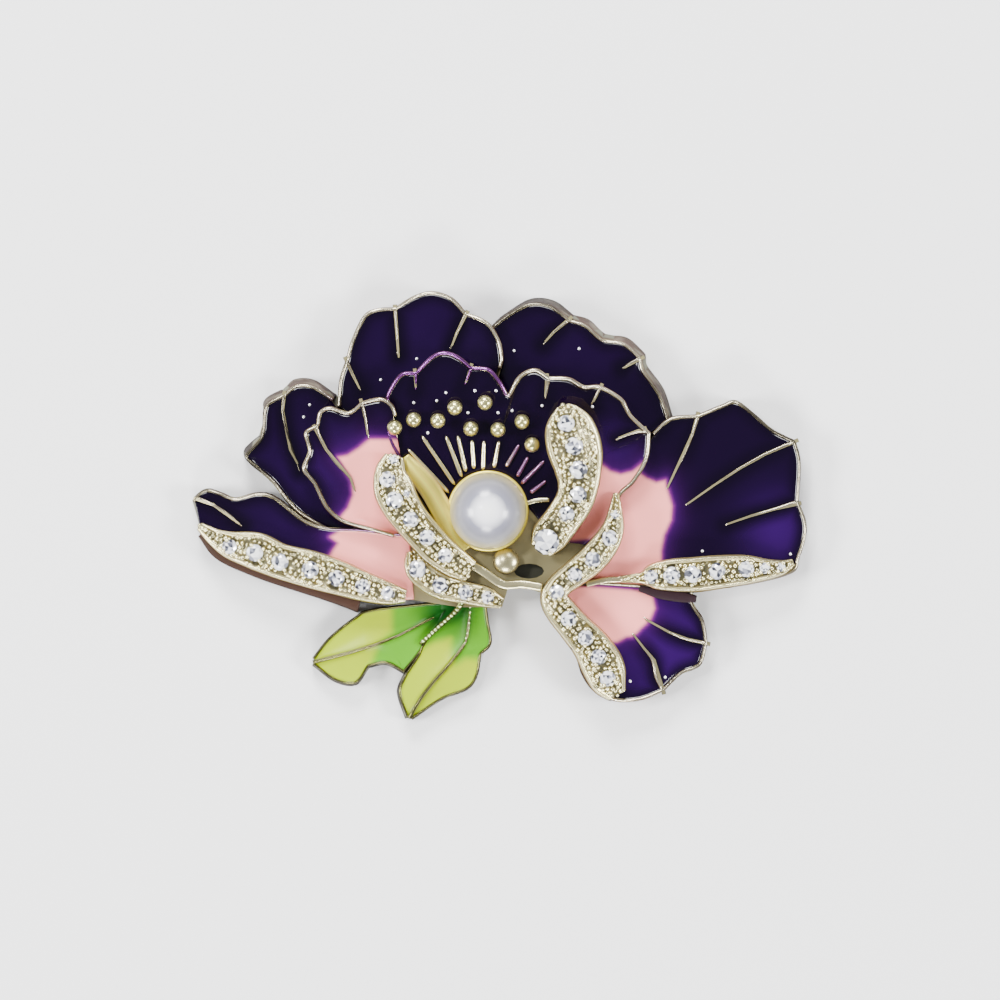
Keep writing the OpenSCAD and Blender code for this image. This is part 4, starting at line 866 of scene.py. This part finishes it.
# Walls that show past the low left border and the hook, painted dark brown as shade.
SKIRTS = {
    "skirt_low_left": [
        (-29.9, -2.9, 1.6, 0.3), (-28.0, -4.9, 2.1, 0.55), (-24.6, -6.5, 2.4, 0.55),
        (-21.5, -7.6, 2.6, 0.55), (-18.5, -8.5, 2.7, 0.6), (-15.7, -9.4, 2.7, 0.65),
        (-14.0, -9.9, 2.6, 0.8)],
    "skirt_right": [
        (13.9, -8.3, 3.3, 0.3), (16.0, -8.9, 3.3, 0.45), (18.2, -9.2, 3.2, 0.5),
        (19.6, -9.4, 3.0, 0.3)],
    "skirt_hook": [
        (7.9, -14.9, 2.4, 0.3), (8.7, -16.8, 2.4, 0.5), (9.8, -18.3, 2.3, 0.5),
        (11.2, -19.2, 2.1, 0.4)],
}
STONES = {
    "low_left": ("border_low_left", [
        (-26.9, -4.2, 1.5), (-24.4, -4.8, 1.7), (-21.9, -5.7, 1.7), (-18.9, -6.45, 1.7),
        (-16.3, -7.3, 1.6), (-13.7, -8.1, 1.5), (-11.2, -8.8, 1.4)]),
    "right": ("border_right", [
        (15.1, -7.15, 1.4), (17.1, -7.0, 1.7), (19.2, -6.9, 1.7), (21.6, -6.6, 1.7), (24.5, -6.4, 1.6),
        (26.4, -6.3, 1.1), (28.0, -6.2, 0.9)]),
    "curl_right": ("curl_right", [
        (6.6, 8.0, 1.7), (7.4, 5.8, 1.8), (7.8, 3.5, 1.8), (7.8, 1.1, 1.7), (6.7, -0.8, 1.6),
        (4.7, -3.5, 2.6)]),
    "hook": ("hook", [
        (11.45, -1.0, 0.9), (10.9, -3.3, 1.6), (9.25, -5.4, 1.6), (7.5, -6.9, 1.5), (5.7, -8.6, 1.5),
        (6.8, -11.3, 1.6), (8.5, -13.2, 1.6), (9.8, -15.1, 1.6), (10.7, -17.2, 1.6)]),
    "curl_left": ("curl_left", [
        (-10.6, 4.5, 1.0), (-11.2, 2.5, 1.6), (-10.5, 0.5, 1.7), (-8.9, -1.4, 1.6), (-7.3, -3.2, 1.6),
        (-5.5, -5.0, 1.5), (-9.28, 1.13, 0.8)]),
    "under": ("border_under", [
        (-8.2, -6.4, 1.8), (-6.0, -8.0, 1.6), (-3.5, -8.7, 1.5), (-1.3, -9.2, 1.3)]),
}


def band_line(rows):
    """The smooth middle line and half width as columns x, y, z, w."""
    middle = smooth([(x, y, z, 0) for x, y, z, w in rows], 10)
    width = smooth([(w, 0, 0, 0) for x, y, z, w in rows], 10)[:, :1]
    return even(np.hstack([middle, width]), 0.18)


# %% [markdown]
# ## Sections of bands and plain curls
# A band's section is a wall, a rounded rail, a channel for the stones, and the same again mirrored. A plain
# curl is half round. Both follow their middle line, so their walls reach down into the petals without a gap.

# %% Bands
def band(rows, low=1.6):
    """A wall, a thin rounded rail, a shallow channel, a rail and a wall. Rails are 0.25 mm wide or 0.3 of the
    half width, and the channel is 0.25 mm deep or 0.35 of it."""
    line = band_line(rows)
    q, w = line[:, :3], line[:, 3] + 0.05
    rail = np.minimum(0.25, w * 0.3)
    deep = np.minimum(0.25, w * 0.35)
    half = [(-1.1 * w, low - q[:, 2]), (-w, -0.3 + 0 * w), (-w + 0.02, -0.1 + 0 * w),
            (-w + 0.1, 0.03 + 0 * w), (-w + rail * 0.6, 0.06 + 0 * w), (-w + rail, 0.0 + 0 * w),
            (-w + rail + 0.12, -0.6 * deep), (-0.2 * w, -deep)]
    across = np.stack([a for a, _ in half] + [-a for a, _ in half[::-1]], 1)
    up = np.stack([z for _, z in half] + [z for _, z in half[::-1]], 1)
    out = right_hand(q)
    flat = q[:, None, :2] + out[:, None, :] * across[..., None]
    points, faces = sweep(np.concatenate([flat, (q[:, 2, None] + up)[..., None]], -1))
    # The channel is painted at half brightness: painted shade between the beads.
    floor = np.tile(np.isin(np.arange(16), (6, 7, 8, 9)), len(q))
    return points, faces, 1 - 0.5 * np.append(floor, [True, True])[:, None] * np.ones(3)


def plain_band(rows, low=1.3):
    """A half-round ridge: across is w sin(angle) and up falls by 0.35 w (1 - cos(angle))."""
    line = band_line(rows)
    q, w = line[:, :3], line[:, 3, None] + 0.03
    angle = np.radians(np.linspace(-80, 80, 9))[None, :]
    across = np.hstack([-1.1 * w, w * np.sin(angle), 1.1 * w])
    up = np.hstack([low - q[:, 2:], 0.04 - 0.35 * w * (1 - np.cos(angle)), low - q[:, 2:]])
    flat = q[:, None, :2] + right_hand(q)[:, None, :] * across[..., None]
    return sweep(np.concatenate([flat, (q[:, 2, None] + up)[..., None]], -1))


for name, rows in BANDS.items():
    points, faces, shade = band(rows)
    store(piece(name, points, faces, BAND_GOLD, "gold"), "shade", shade)
for name, rows in PLAIN.items():
    thing = piece(name, *plain_band(rows), YELLOW_GOLD if name == "curl_left_face" else BAND_GOLD, "gold")
    across = np.append(np.tile(np.linspace(-1, 1, 11), (len(thing.data.vertices) - 2) // 11), [0, 0])
    shade = np.full((len(across), 3), 0.9)
    if name == "curl_left_face":
        # Painted highlight streaks run along the face, and a lilac-white line along its right edge.
        shade = shade * (1.0 + 0.35 * np.cos(9 * across))[:, None]
        shade += step_up(-across, 0.55, 0.75)[:, None] * np.array([0.1, 0.1, 2.2])
    store(thing, "shade", shade * [0.16, 0.2, 0.1] if name == "leaf_stem" else shade)
for name, rows in SKIRTS.items():
    thing = piece(name, *plain_band(rows, 0.015), PAINTED_SHADE_WALL, "gold")
    # The right skirt is painted darker and more violet as deeper shade.
    tone = (0.4, 0.35, 0.9) if name == "skirt_right" else (0.9, 0.9, 0.9)
    store(thing, "shade", np.tile(tone, (len(thing.data.vertices), 1)))

# %% [markdown]
# ## Small balls in great numbers
# Grains hold the stones. There are hundreds, so each has only a few dozen faces: rings of a sphere closed by
# two poles, copied to every place by adding one array to another.


# %% Balls
def ball(sides, rings):
    """A unit sphere: pole, rings at equal angles with `sides` points each, pole."""
    tilt = np.pi * np.arange(1, rings) / rings
    turn = 2 * np.pi * np.arange(sides) / sides
    ring = np.stack([np.outer(np.sin(tilt), np.cos(turn)), np.outer(np.sin(tilt), np.sin(turn)),
                     np.outer(np.cos(tilt), np.ones(sides))], -1).reshape(-1, 3)
    points = np.vstack([[0, 0, 1], ring, [0, 0, -1]])
    i, j = np.meshgrid(np.arange(rings - 2), np.arange(sides), indexing="ij")
    a, b = 1 + i * sides + j, 1 + i * sides + (j + 1) % sides
    quads = np.stack([a, a + sides, b + sides, b], -1).reshape(-1, 4)
    r = np.arange(sides)
    last = len(points) - 1
    caps = np.vstack([np.stack([0 * r, 1 + r, 1 + (r + 1) % sides], 1),
                      np.stack([0 * r + last, last - sides + (r + 1) % sides, last - sides + r], 1)])
    return points, [quads, caps]


def balls_at(places, radii, sides, rings, squash=1.0):
    """The same ball at every place with its own radius."""
    points, faces = ball(sides, rings)
    n = len(points)
    size = np.asarray(radii)[:, None, None] * np.array([1, 1, squash])
    every = (np.asarray(places)[:, None, :] + points[None] * size).reshape(-1, 3)
    move = (np.arange(len(places)) * n)[:, None, None]
    return every, [(f[None] + move).reshape(-1, f.shape[1]) for f in faces]


# Between the lanes of beads, and half the step from bead to bead along a lane.
LANE, HALF_STEP = 0.46, 0.24


def grains(rows, stones, seed):
    """Lanes of beads fill the channel, every other lane moved on by half a step, wherever no stone is in the
    way. Each has its own size and brightness."""
    rng = np.random.default_rng(seed)
    places, radii = [], []
    for lane in range(-5, 6):
        line = even(band_line(rows), HALF_STEP)[lane % 2::2]
        q, w = line[:, :3], line[:, 3]
        at = q + np.pad(right_hand(q), ((0, 0), (0, 1))) * LANE * lane
        at[:, 2] -= 0.1
        fits = np.abs(LANE * lane) < w - 0.3
        places.append(at[fits])
        radii.append(rng.uniform(0.17, 0.29, fits.sum()))
    places, radii = np.vstack(places), np.concatenate(radii)
    places[:, :2] += rng.normal(0, 0.07, (len(places), 2))
    seats = np.array(stones)[None]
    gap = np.linalg.norm(places[:, None, :2] - seats[..., :2], axis=2) - seats[..., 2] / 2
    keep = gap.min(1) > 0.05
    points, faces = balls_at(places[keep], radii[keep], 8, 4, 0.9)
    shade = rng.choice([1.1, 0.85, 0.6, 0.35], keep.sum(), p=[0.45, 0.25, 0.2, 0.1])
    return points, faces, np.repeat(shade, len(points) // len(shade))[:, None] * np.ones(3)


for seed, (name, (band_name, stones)) in enumerate(STONES.items()):
    points, faces, shade = grains(BANDS[band_name], stones, seed)
    store(piece("grains_" + name, points, faces, GRAIN_GOLD, "gold"), "shade", shade)

# %% [markdown]
# ## Cut stones
# A round stone has an eight-sided table, eight star and eight kite facets above the girdle, and eight long
# facets below it. Every stone is turned a little differently, so that no two catch the light alike. Four
# claws hold each one.

# %% Stone finish
def stone_finish():
    """Foil-backed glass: each facet has its own painted reflection, from white to blue-grey, under a hard
    gloss.
    """
    mat, nodes, links, shader = begun("cut_stone")
    shader.inputs["Metallic"].default_value = 0.15
    shader.inputs["Roughness"].default_value = 0.05
    shader.inputs["Coat Weight"].default_value = 1.0
    shader.inputs["Coat Roughness"].default_value = 0.02
    links.new(stored(nodes, "facet"), shader.inputs["Base Color"])
    return mat


STONE = stone_finish()

# %% [markdown]
# ## Cutting and setting
# One stone is cut from rings of eight points and then set many times: made as large as its seat, turned,
# tilted with its band, and lowered until its girdle lies between the claws.


# %% Stones
def brilliant():
    """Rings of eight points, as radius and height for a diameter of 1: table 0.29 at 0.5, stars 0.41 at 0.43
    half a step on, girdle 0.5 at 0.33 and again half a step on, its lower side at 0.28, and the point below
    at 0."""
    def ring(r, z, turn):
        """Eight points (r cos a, r sin a, z), a step of 45 degrees apart and turned by a share of a step."""
        a = np.radians(45 * (np.arange(8) + turn))
        return np.stack([r * np.cos(a), r * np.sin(a), np.full(8, z)], 1)
    points = np.vstack([ring(0.29, 0.50, 0), ring(0.41, 0.43, 0.5), ring(0.5, 0.33, 0), ring(0.5, 0.33, 0.5),
                        ring(0.5, 0.28, 0), [[0, 0, 0.0]], [[0, 0, 0.5]]])
    i = np.arange(8)
    j = (i + 1) % 8
    table = np.stack([i, j, 0 * i + 41], 1)
    star = np.stack([i, 8 + i, j], 1)
    kite = np.stack([j, 8 + i, 16 + j, 8 + j], 1)
    upper = np.vstack([np.stack([8 + i, 16 + i, 24 + i], 1), np.stack([8 + i, 24 + i, 16 + j], 1)])
    girdle = np.vstack([np.stack([16 + i, 32 + i, 24 + i], 1), np.stack([24 + i, 32 + i, 32 + j], 1),
                        np.stack([24 + i, 32 + j, 16 + j], 1)])
    below = np.stack([32 + i, 0 * i + 40, 32 + j], 1)
    return points, [np.vstack([table, star, upper, girdle, below]), kite]


# How far a stone's floor lies above its seat, the seat's depth below the band's middle line, and the share of
# the band's half width that the depth is where that is less.
FLOOR_UP, SEAT_DEEP, SEAT_SHARE = 0.08, 0.45, 0.4


def set_stone(name, spot, rows, turn):
    """Stands on the channel's floor, tilted as the band rises there, and has its own turn. Returns the places
    of its four claws."""
    x, y, d = spot
    line = band_line(rows)
    near = int(np.argmin(np.linalg.norm(line[:, :2] - [x, y], axis=1)))
    a, b = line[max(near - 2, 0)], line[min(near + 2, len(line) - 1)]
    run = np.array([b[0] - a[0], b[1] - a[1], b[2] - a[2]])
    run /= np.linalg.norm(run)
    side = np.array([run[1], -run[0], 0]) / np.hypot(run[0], run[1])
    up = np.cross(side, run)
    up *= np.sign(up[2])
    axes = np.stack([run, np.cross(up, run), up])
    points, faces = brilliant()
    c, s = math.cos(turn), math.sin(turn)
    points = points @ np.array([[c, s, 0], [-s, c, 0], [0, 0, 1]]) * d
    floor = line[near, 2] - min(SEAT_DEEP, line[near, 3] * SEAT_SHARE) + FLOOR_UP
    points = points @ axes + [x, y, floor + 0.06]
    if volume(points, faces) < 0:
        faces = [f[:, ::-1] for f in faces]
    thing = piece(name + "_cut", points, faces, STONE, "stone", replaces=[name], smooth_faces=False)
    rng = np.random.default_rng(int(1000 * (x + 40) + 10 * (y + 30)))
    count = sum(len(f) for f in faces)
    # Each facet's colour is a painted reflection, white to dark blue-grey, chosen at random.
    light = rng.choice([0.97, 0.75, 0.35, 0.14, 0.06], count, p=[0.4, 0.18, 0.14, 0.16, 0.12])
    tint = light[:, None] * np.array([0.72, 0.76, 1.0]) ** (1 - light[:, None])
    loops = np.repeat(tint, [f.shape[1] for f in faces for _ in range(len(f))], axis=0)
    store(thing, "facet", loops, "CORNER")
    claw = np.radians(45 + 90 * np.arange(4)) + math.atan2(run[1], run[0])
    around = np.stack([np.cos(claw), np.sin(claw), 0 * claw], 1)
    return np.array([x, y, floor + 0.40 * d]) + around * d * 0.53


CLAW_R = 0.22
claws = []
for name, (band_name, stones) in STONES.items():
    for i, spot in enumerate(stones):
        claws.append(set_stone("stone_%s_%d" % (name, i + 1), spot, BANDS[band_name], 0.7 * i))
claws = np.vstack(claws)
points, faces = balls_at(claws, np.full(len(claws), CLAW_R), 8, 5)
store(piece("claws", points, faces, GRAIN_GOLD, "gold"), "shade", np.ones(points.shape))

# %% [markdown]
# ## Stamens
# Eleven threads lie on the enamel of the bowl and end near the pearl. Nine polished balls stand among them.

# %% Stamens
THREADS = [(-9.2, 5.6, -5.1, 1.2), (-7.8, 6.9, -4.5, 2.0), (-5.4, 6.9, -3.8, 2.8), (-4.2, 6.9, -3.4, 3.3),
           (-2.8, 6.5, -2.6, 3.6), (-1.6, 6.4, -1.7, 3.5), (-0.1, 6.4, -0.6, 3.7), (1.9, 6.0, 0.6, 3.8),
           (2.8, 4.8, 1.7, 2.8), (4.4, 4.4, 2.1, 2.1), (4.6, 2.4, 3.0, 1.2)]
BALLS = np.array([(-10.5, 7.7), (-8.6, 8.5), (-6.2, 8.4), (-4.5, 9.7), (-1.5, 10.2), (-2.9, 7.6), (-0.2, 7.5),
                  (2.2, 8.3), (3.2, 6.0)])
# A ball's radius and its middle's height over the enamel, and the post that it stands on.
HEAD_R, HEAD_UP, POST_R, POST_DOWN = 0.76, 0.86, 0.42, 0.72


def thread(ends):
    """A round thread with a radius of 0.17 to 0.22 mm that lies half sunk in the enamel."""
    x0, y0, x1, y1 = ends
    s = np.linspace(0, 1, 24)
    line = np.stack([x0 + (x1 - x0) * s, y0 + (y1 - y0) * s, 0 * s], 1)
    line[:, 2] = height_on(TOPS["bowl"], line) + 0.12
    r = (0.17 + 0.05 * s) * np.sqrt(np.clip(1 - (2 * np.abs(s - 0.5)) ** 10, 0.02, 1))
    angle = 2 * np.pi * np.arange(10) / 10
    side = np.pad(right_hand(line), ((0, 0), (0, 1)))
    ring = side[:, None, :] * np.cos(angle)[None, :, None]
    ring = ring + np.array([0, 0, 1]) * np.sin(angle)[None, :, None]
    return sweep(line[:, None, :] + ring * r[:, None, None])


places = np.hstack([BALLS, (height_on(TOPS["bowl"], BALLS) + HEAD_UP)[:, None]])
threads = joined([thread(t) for t in THREADS])
heads = balls_at(places, np.full(len(BALLS), HEAD_R), 28, 18)
posts = balls_at(places - [0, 0, POST_DOWN], np.full(len(BALLS), POST_R), 12, 6)
lilac = step_up(threads[0][:, :1], -1, 2) * (np.array([0.5, 0.26, 0.95]) - 1) + 1
shade = np.vstack([lilac * 1.1, np.tile([0.84, 0.86, 0.66], (len(heads[0]) + len(posts[0]), 1))])
thing = piece("stamens_cast", *joined([threads, heads, posts]), GRAIN_GOLD, "gold", replaces=["stamens"])
store(thing, "shade", shade)

# %% [markdown]
# ## Where the leaves join
# The leaves meet under the border in a patch of deep green, and beads of metal run down the stem and the
# right leaf's rib.

# %% Leaf joint and beads
joint = [(-6.7, -12.7, 2.1, 0.2), (-5.7, -11.3, 2.2, 0.6), (-4.9, -9.6, 2.3, 0.8)]
points, faces = plain_band(joint, 1.2)
thing = piece("leaf_joint", points, faces, LEAF_ENAMEL, "green_enamel")
store(thing, "tint", np.tile(GREEN, (len(points), 1)))
stem = even(band_line(PLAIN["leaf_stem"]), 0.42)[1:, :3] + [0, 0, 0.06]
rib = even(smooth([(-3.5, -13.8, 2.75, 0), (-3.1, -12.0, 2.75, 0), (-3.0, -10.2, 2.7, 0)], 8), 0.5)
beads = np.vstack([stem, rib])
points, faces = balls_at(beads, np.append(np.full(len(stem), 0.19), np.full(len(rib), 0.13)), 10, 6)
thing = piece("leaf_beads", points, faces, GRAIN_GOLD, "gold")
store(thing, "shade", np.tile([0.8, 1.0, 0.9], (len(points), 1)))

# %% [markdown]
# ## Highlight dots on the enamel
# Small white domes on the enamel are painted highlights: each stands for a white dot where a lamp is
# mirrored.

# %% Painted highlight dots
HIGHLIGHT_DOTS = {
    "top_left": [(-11.9, 12.5), (-9.3, 11.1), (-8.3, 14.6)],
    "bowl": [(-6.3, 10.4), (-5.4, 11.2), (-2.5, 11.4), (-0.4, 11.4), (-0.2, 9.2), (4.2, 9.9), (9.2, 9.8),
             (-8.6, 10.2), (-3.2, 9.2), (1.2, 9.4), (-7.2, 7.2)],
    "far_left": [(-19.6, 8.8), (-19.0, 10.0)], "top_right": [(7.9, 15.6), (1.4, 15.4)],
    "right": [(29.0, -4.9), (20.2, -4.6)], "low_right": [(16.5, -17.2), (13.0, -17.6)],
}
HIGHLIGHT_DOT_R = 0.16
for name, spots in HIGHLIGHT_DOTS.items():
    spots = np.array(spots)
    at = np.column_stack([spots, height_on(TOPS[name], spots)])
    # Each dome is a painted highlight in the white glint metal.
    piece(name + "_highlight_dots", *balls_at(at, np.full(len(at), HIGHLIGHT_DOT_R), 12, 8, 0.7), GLINT, "violet_enamel")

# %% [markdown]
# ## The pearl
# A pearl is nearly a sphere. The finish is a soft base under a clear coat, with painted highlight, shade and
# reflection by height.


# %% Pearl
PEARL_AT, PEARL_R = np.array([[-1.2, -0.6, 6.7]]), 3.8


def pearl_finish():
    """A painted white highlight on top, painted lavender grey shade and reflection lower down and a painted
    cream reflection where the cup shines into it, by height, with a cloudy roughness and a clear coat."""
    mat, nodes, links, shader = begun("pearl")
    shader.inputs["Coat Weight"].default_value = 0.8
    shader.inputs["Coat Roughness"].default_value = 0.2
    skin = placed(nodes, CAST, Scale=400, Base=0.3, Spread=0.12)
    middle = PEARL_AT[0, 2]
    ramp = nodes.new("ShaderNodeValToRGB")
    # White is painted highlight, lavender grey painted shade and reflection, cream a painted reflection of
    # the cup.
    stops = [(0.0, (0.98, 0.98, 0.98)), (0.04, (0.86, 0.86, 0.90)), (0.14, (0.22, 0.22, 0.28)),
             (0.42, (0.20, 0.195, 0.20)), (0.75, (0.50, 0.43, 0.22))]
    while len(ramp.color_ramp.elements) < len(stops):
        ramp.color_ramp.elements.new(0.5)
    for element, (at, colour) in zip(ramp.color_ramp.elements, stops):
        element.position, element.color = at, (*colour, 1)
    links.new(faded(nodes, links, middle * MM, (middle + PEARL_R) * MM), ramp.inputs[0])
    links.new(ramp.outputs[0], shader.inputs["Base Color"])
    links.new(skin.outputs["Rough"], shader.inputs["Roughness"])
    return mat


points, faces = balls_at(PEARL_AT, [PEARL_R], 64, 40)
piece("pearl_round", points, faces, pearl_finish(), "pearl", replaces=["pearl"])


def lathe(profile, centre, sides):
    """A closed profile of (radius, height) turned around an upright axis, as one ring without ends."""
    profile = np.array(profile)
    turn = 2 * np.pi * np.arange(sides) / sides
    x = np.outer(np.cos(turn), profile[:, 0])
    y = np.outer(np.sin(turn), profile[:, 0])
    points = np.stack([x, y, np.tile(profile[:, 1], (sides, 1))], -1) + [*centre, 0]
    n, k = x.shape
    i, j = np.meshgrid(np.arange(n), np.arange(k), indexing="ij")
    a, b = i * k + j, i * k + (j + 1) % k
    c, d = (i + 1) % n * k + (j + 1) % k, (i + 1) % n * k + j
    quads = np.stack([a, b, c, d], -1).reshape(-1, 4)
    points = points.reshape(-1, 3)
    return points, [quads if volume(points, [quads]) > 0 else quads[:, ::-1]]


CUP = [(3.9, 2.9), (4.04, 3.2), (4.05, 5.1), (4.0, 5.22), (3.88, 5.28), (3.74, 5.27), (3.63, 5.22),
       (3.6, 5.15), (3.3, 4.5), (2.9, 3.9)]
CUP_SIDES, KNOB_R = 72, 1.32
points, faces = lathe(CUP, PEARL_AT[0, :2], CUP_SIDES)
store(piece("pearl_cup", points, faces, YELLOW_GOLD, "gold"), "shade", np.ones(points.shape))
KNOB = np.array([[0.6, -5.6, 4.1]])
points, faces = balls_at(KNOB, [KNOB_R], 32, 18, 0.6)
store(piece("plate_knob", points, faces, BAND_GOLD, "gold"), "shade", np.full(points.shape, 0.8))

# %% [markdown]
# ## What stays from the model
# The casting's body, back and the plate under the pearl are right as they are, and so is the pin behind.
# They get the same metal.

# %% Model nodes
for node, finish in (("casting", BODY_GOLD), ("pin_back", PIN_METAL)):
    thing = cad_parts[node]
    thing.data.materials.clear()
    thing.data.materials.append(finish)

# %% [markdown]
# ## Table, light and camera
# The brooch lies on a pale table. Soft boxes stand around it rather than straight above, because the enamel
# faces up and would mirror a light there.


# %% Scene
def flat_piece(name, half, z, colour):
    """A pale matt square, the floor."""
    points = np.array([(-half, -half, z), (half, -half, z), (half, half, z), (-half, half, z)]) - SHIFT
    thing = to_mesh(name, points, [np.array([[0, 1, 2, 3]])], False)
    mat, _, _, shader = begun(name)
    shader.inputs["Base Color"].default_value = (*colour, 1)
    shader.inputs["Roughness"].default_value = 0.8
    thing.data.materials.append(mat)


flat_piece("floor", 3000, -0.02, (0.93, 0.93, 0.93))


def soft_box(name, azimuth, elevation, far, size, watts):
    """An area light on a sphere around the brooch, turned towards it."""
    data = bpy.data.lights.new(name, "AREA")
    data.shape, data.size, data.size_y, data.energy = "RECTANGLE", size[0], size[1], watts
    thing = bpy.data.objects.new(name, data)
    a, e = math.radians(azimuth), math.radians(elevation)
    place = np.array([math.cos(a) * math.cos(e), math.sin(a) * math.cos(e), math.sin(e)]) * far
    thing.location = place
    thing.rotation_euler = Vector(-place).to_track_quat("-Z", "Y").to_euler()
    bpy.context.scene.collection.objects.link(thing)


soft_box("box_back", 100, 35, 0.6, (0.24, 0.16), 6.4)
soft_box("box_left", 185, 36, 0.6, (0.2, 0.16), 5.4)
soft_box("box_right", -10, 36, 0.6, (0.2, 0.16), 4.6)
soft_box("box_front", -95, 33, 0.6, (0.24, 0.12), 3.6)
soft_box("lamp", 150, 66, 0.6, (0.05, 0.05), 1.0)
soft_box("small_lamp", 60, 50, 0.6, (0.04, 0.04), 0.5)
world = bpy.data.worlds.new("studio")
world.use_nodes = True
world.node_tree.nodes["Background"].inputs["Color"].default_value = (0.9, 0.92, 1.0, 1)
world.node_tree.nodes["Background"].inputs["Strength"].default_value = 0.24
bpy.context.scene.world = world

camera = bpy.data.cameras.new("camera")
camera.lens, camera.sensor_width = 540, 36
camera.clip_end = 10
eye = bpy.data.objects.new("camera", camera)
eye.location = (SHIFT[0] * MM, (SHIFT[1] + 0.5) * MM, 1.5)
bpy.context.scene.collection.objects.link(eye)
bpy.context.scene.camera = eye
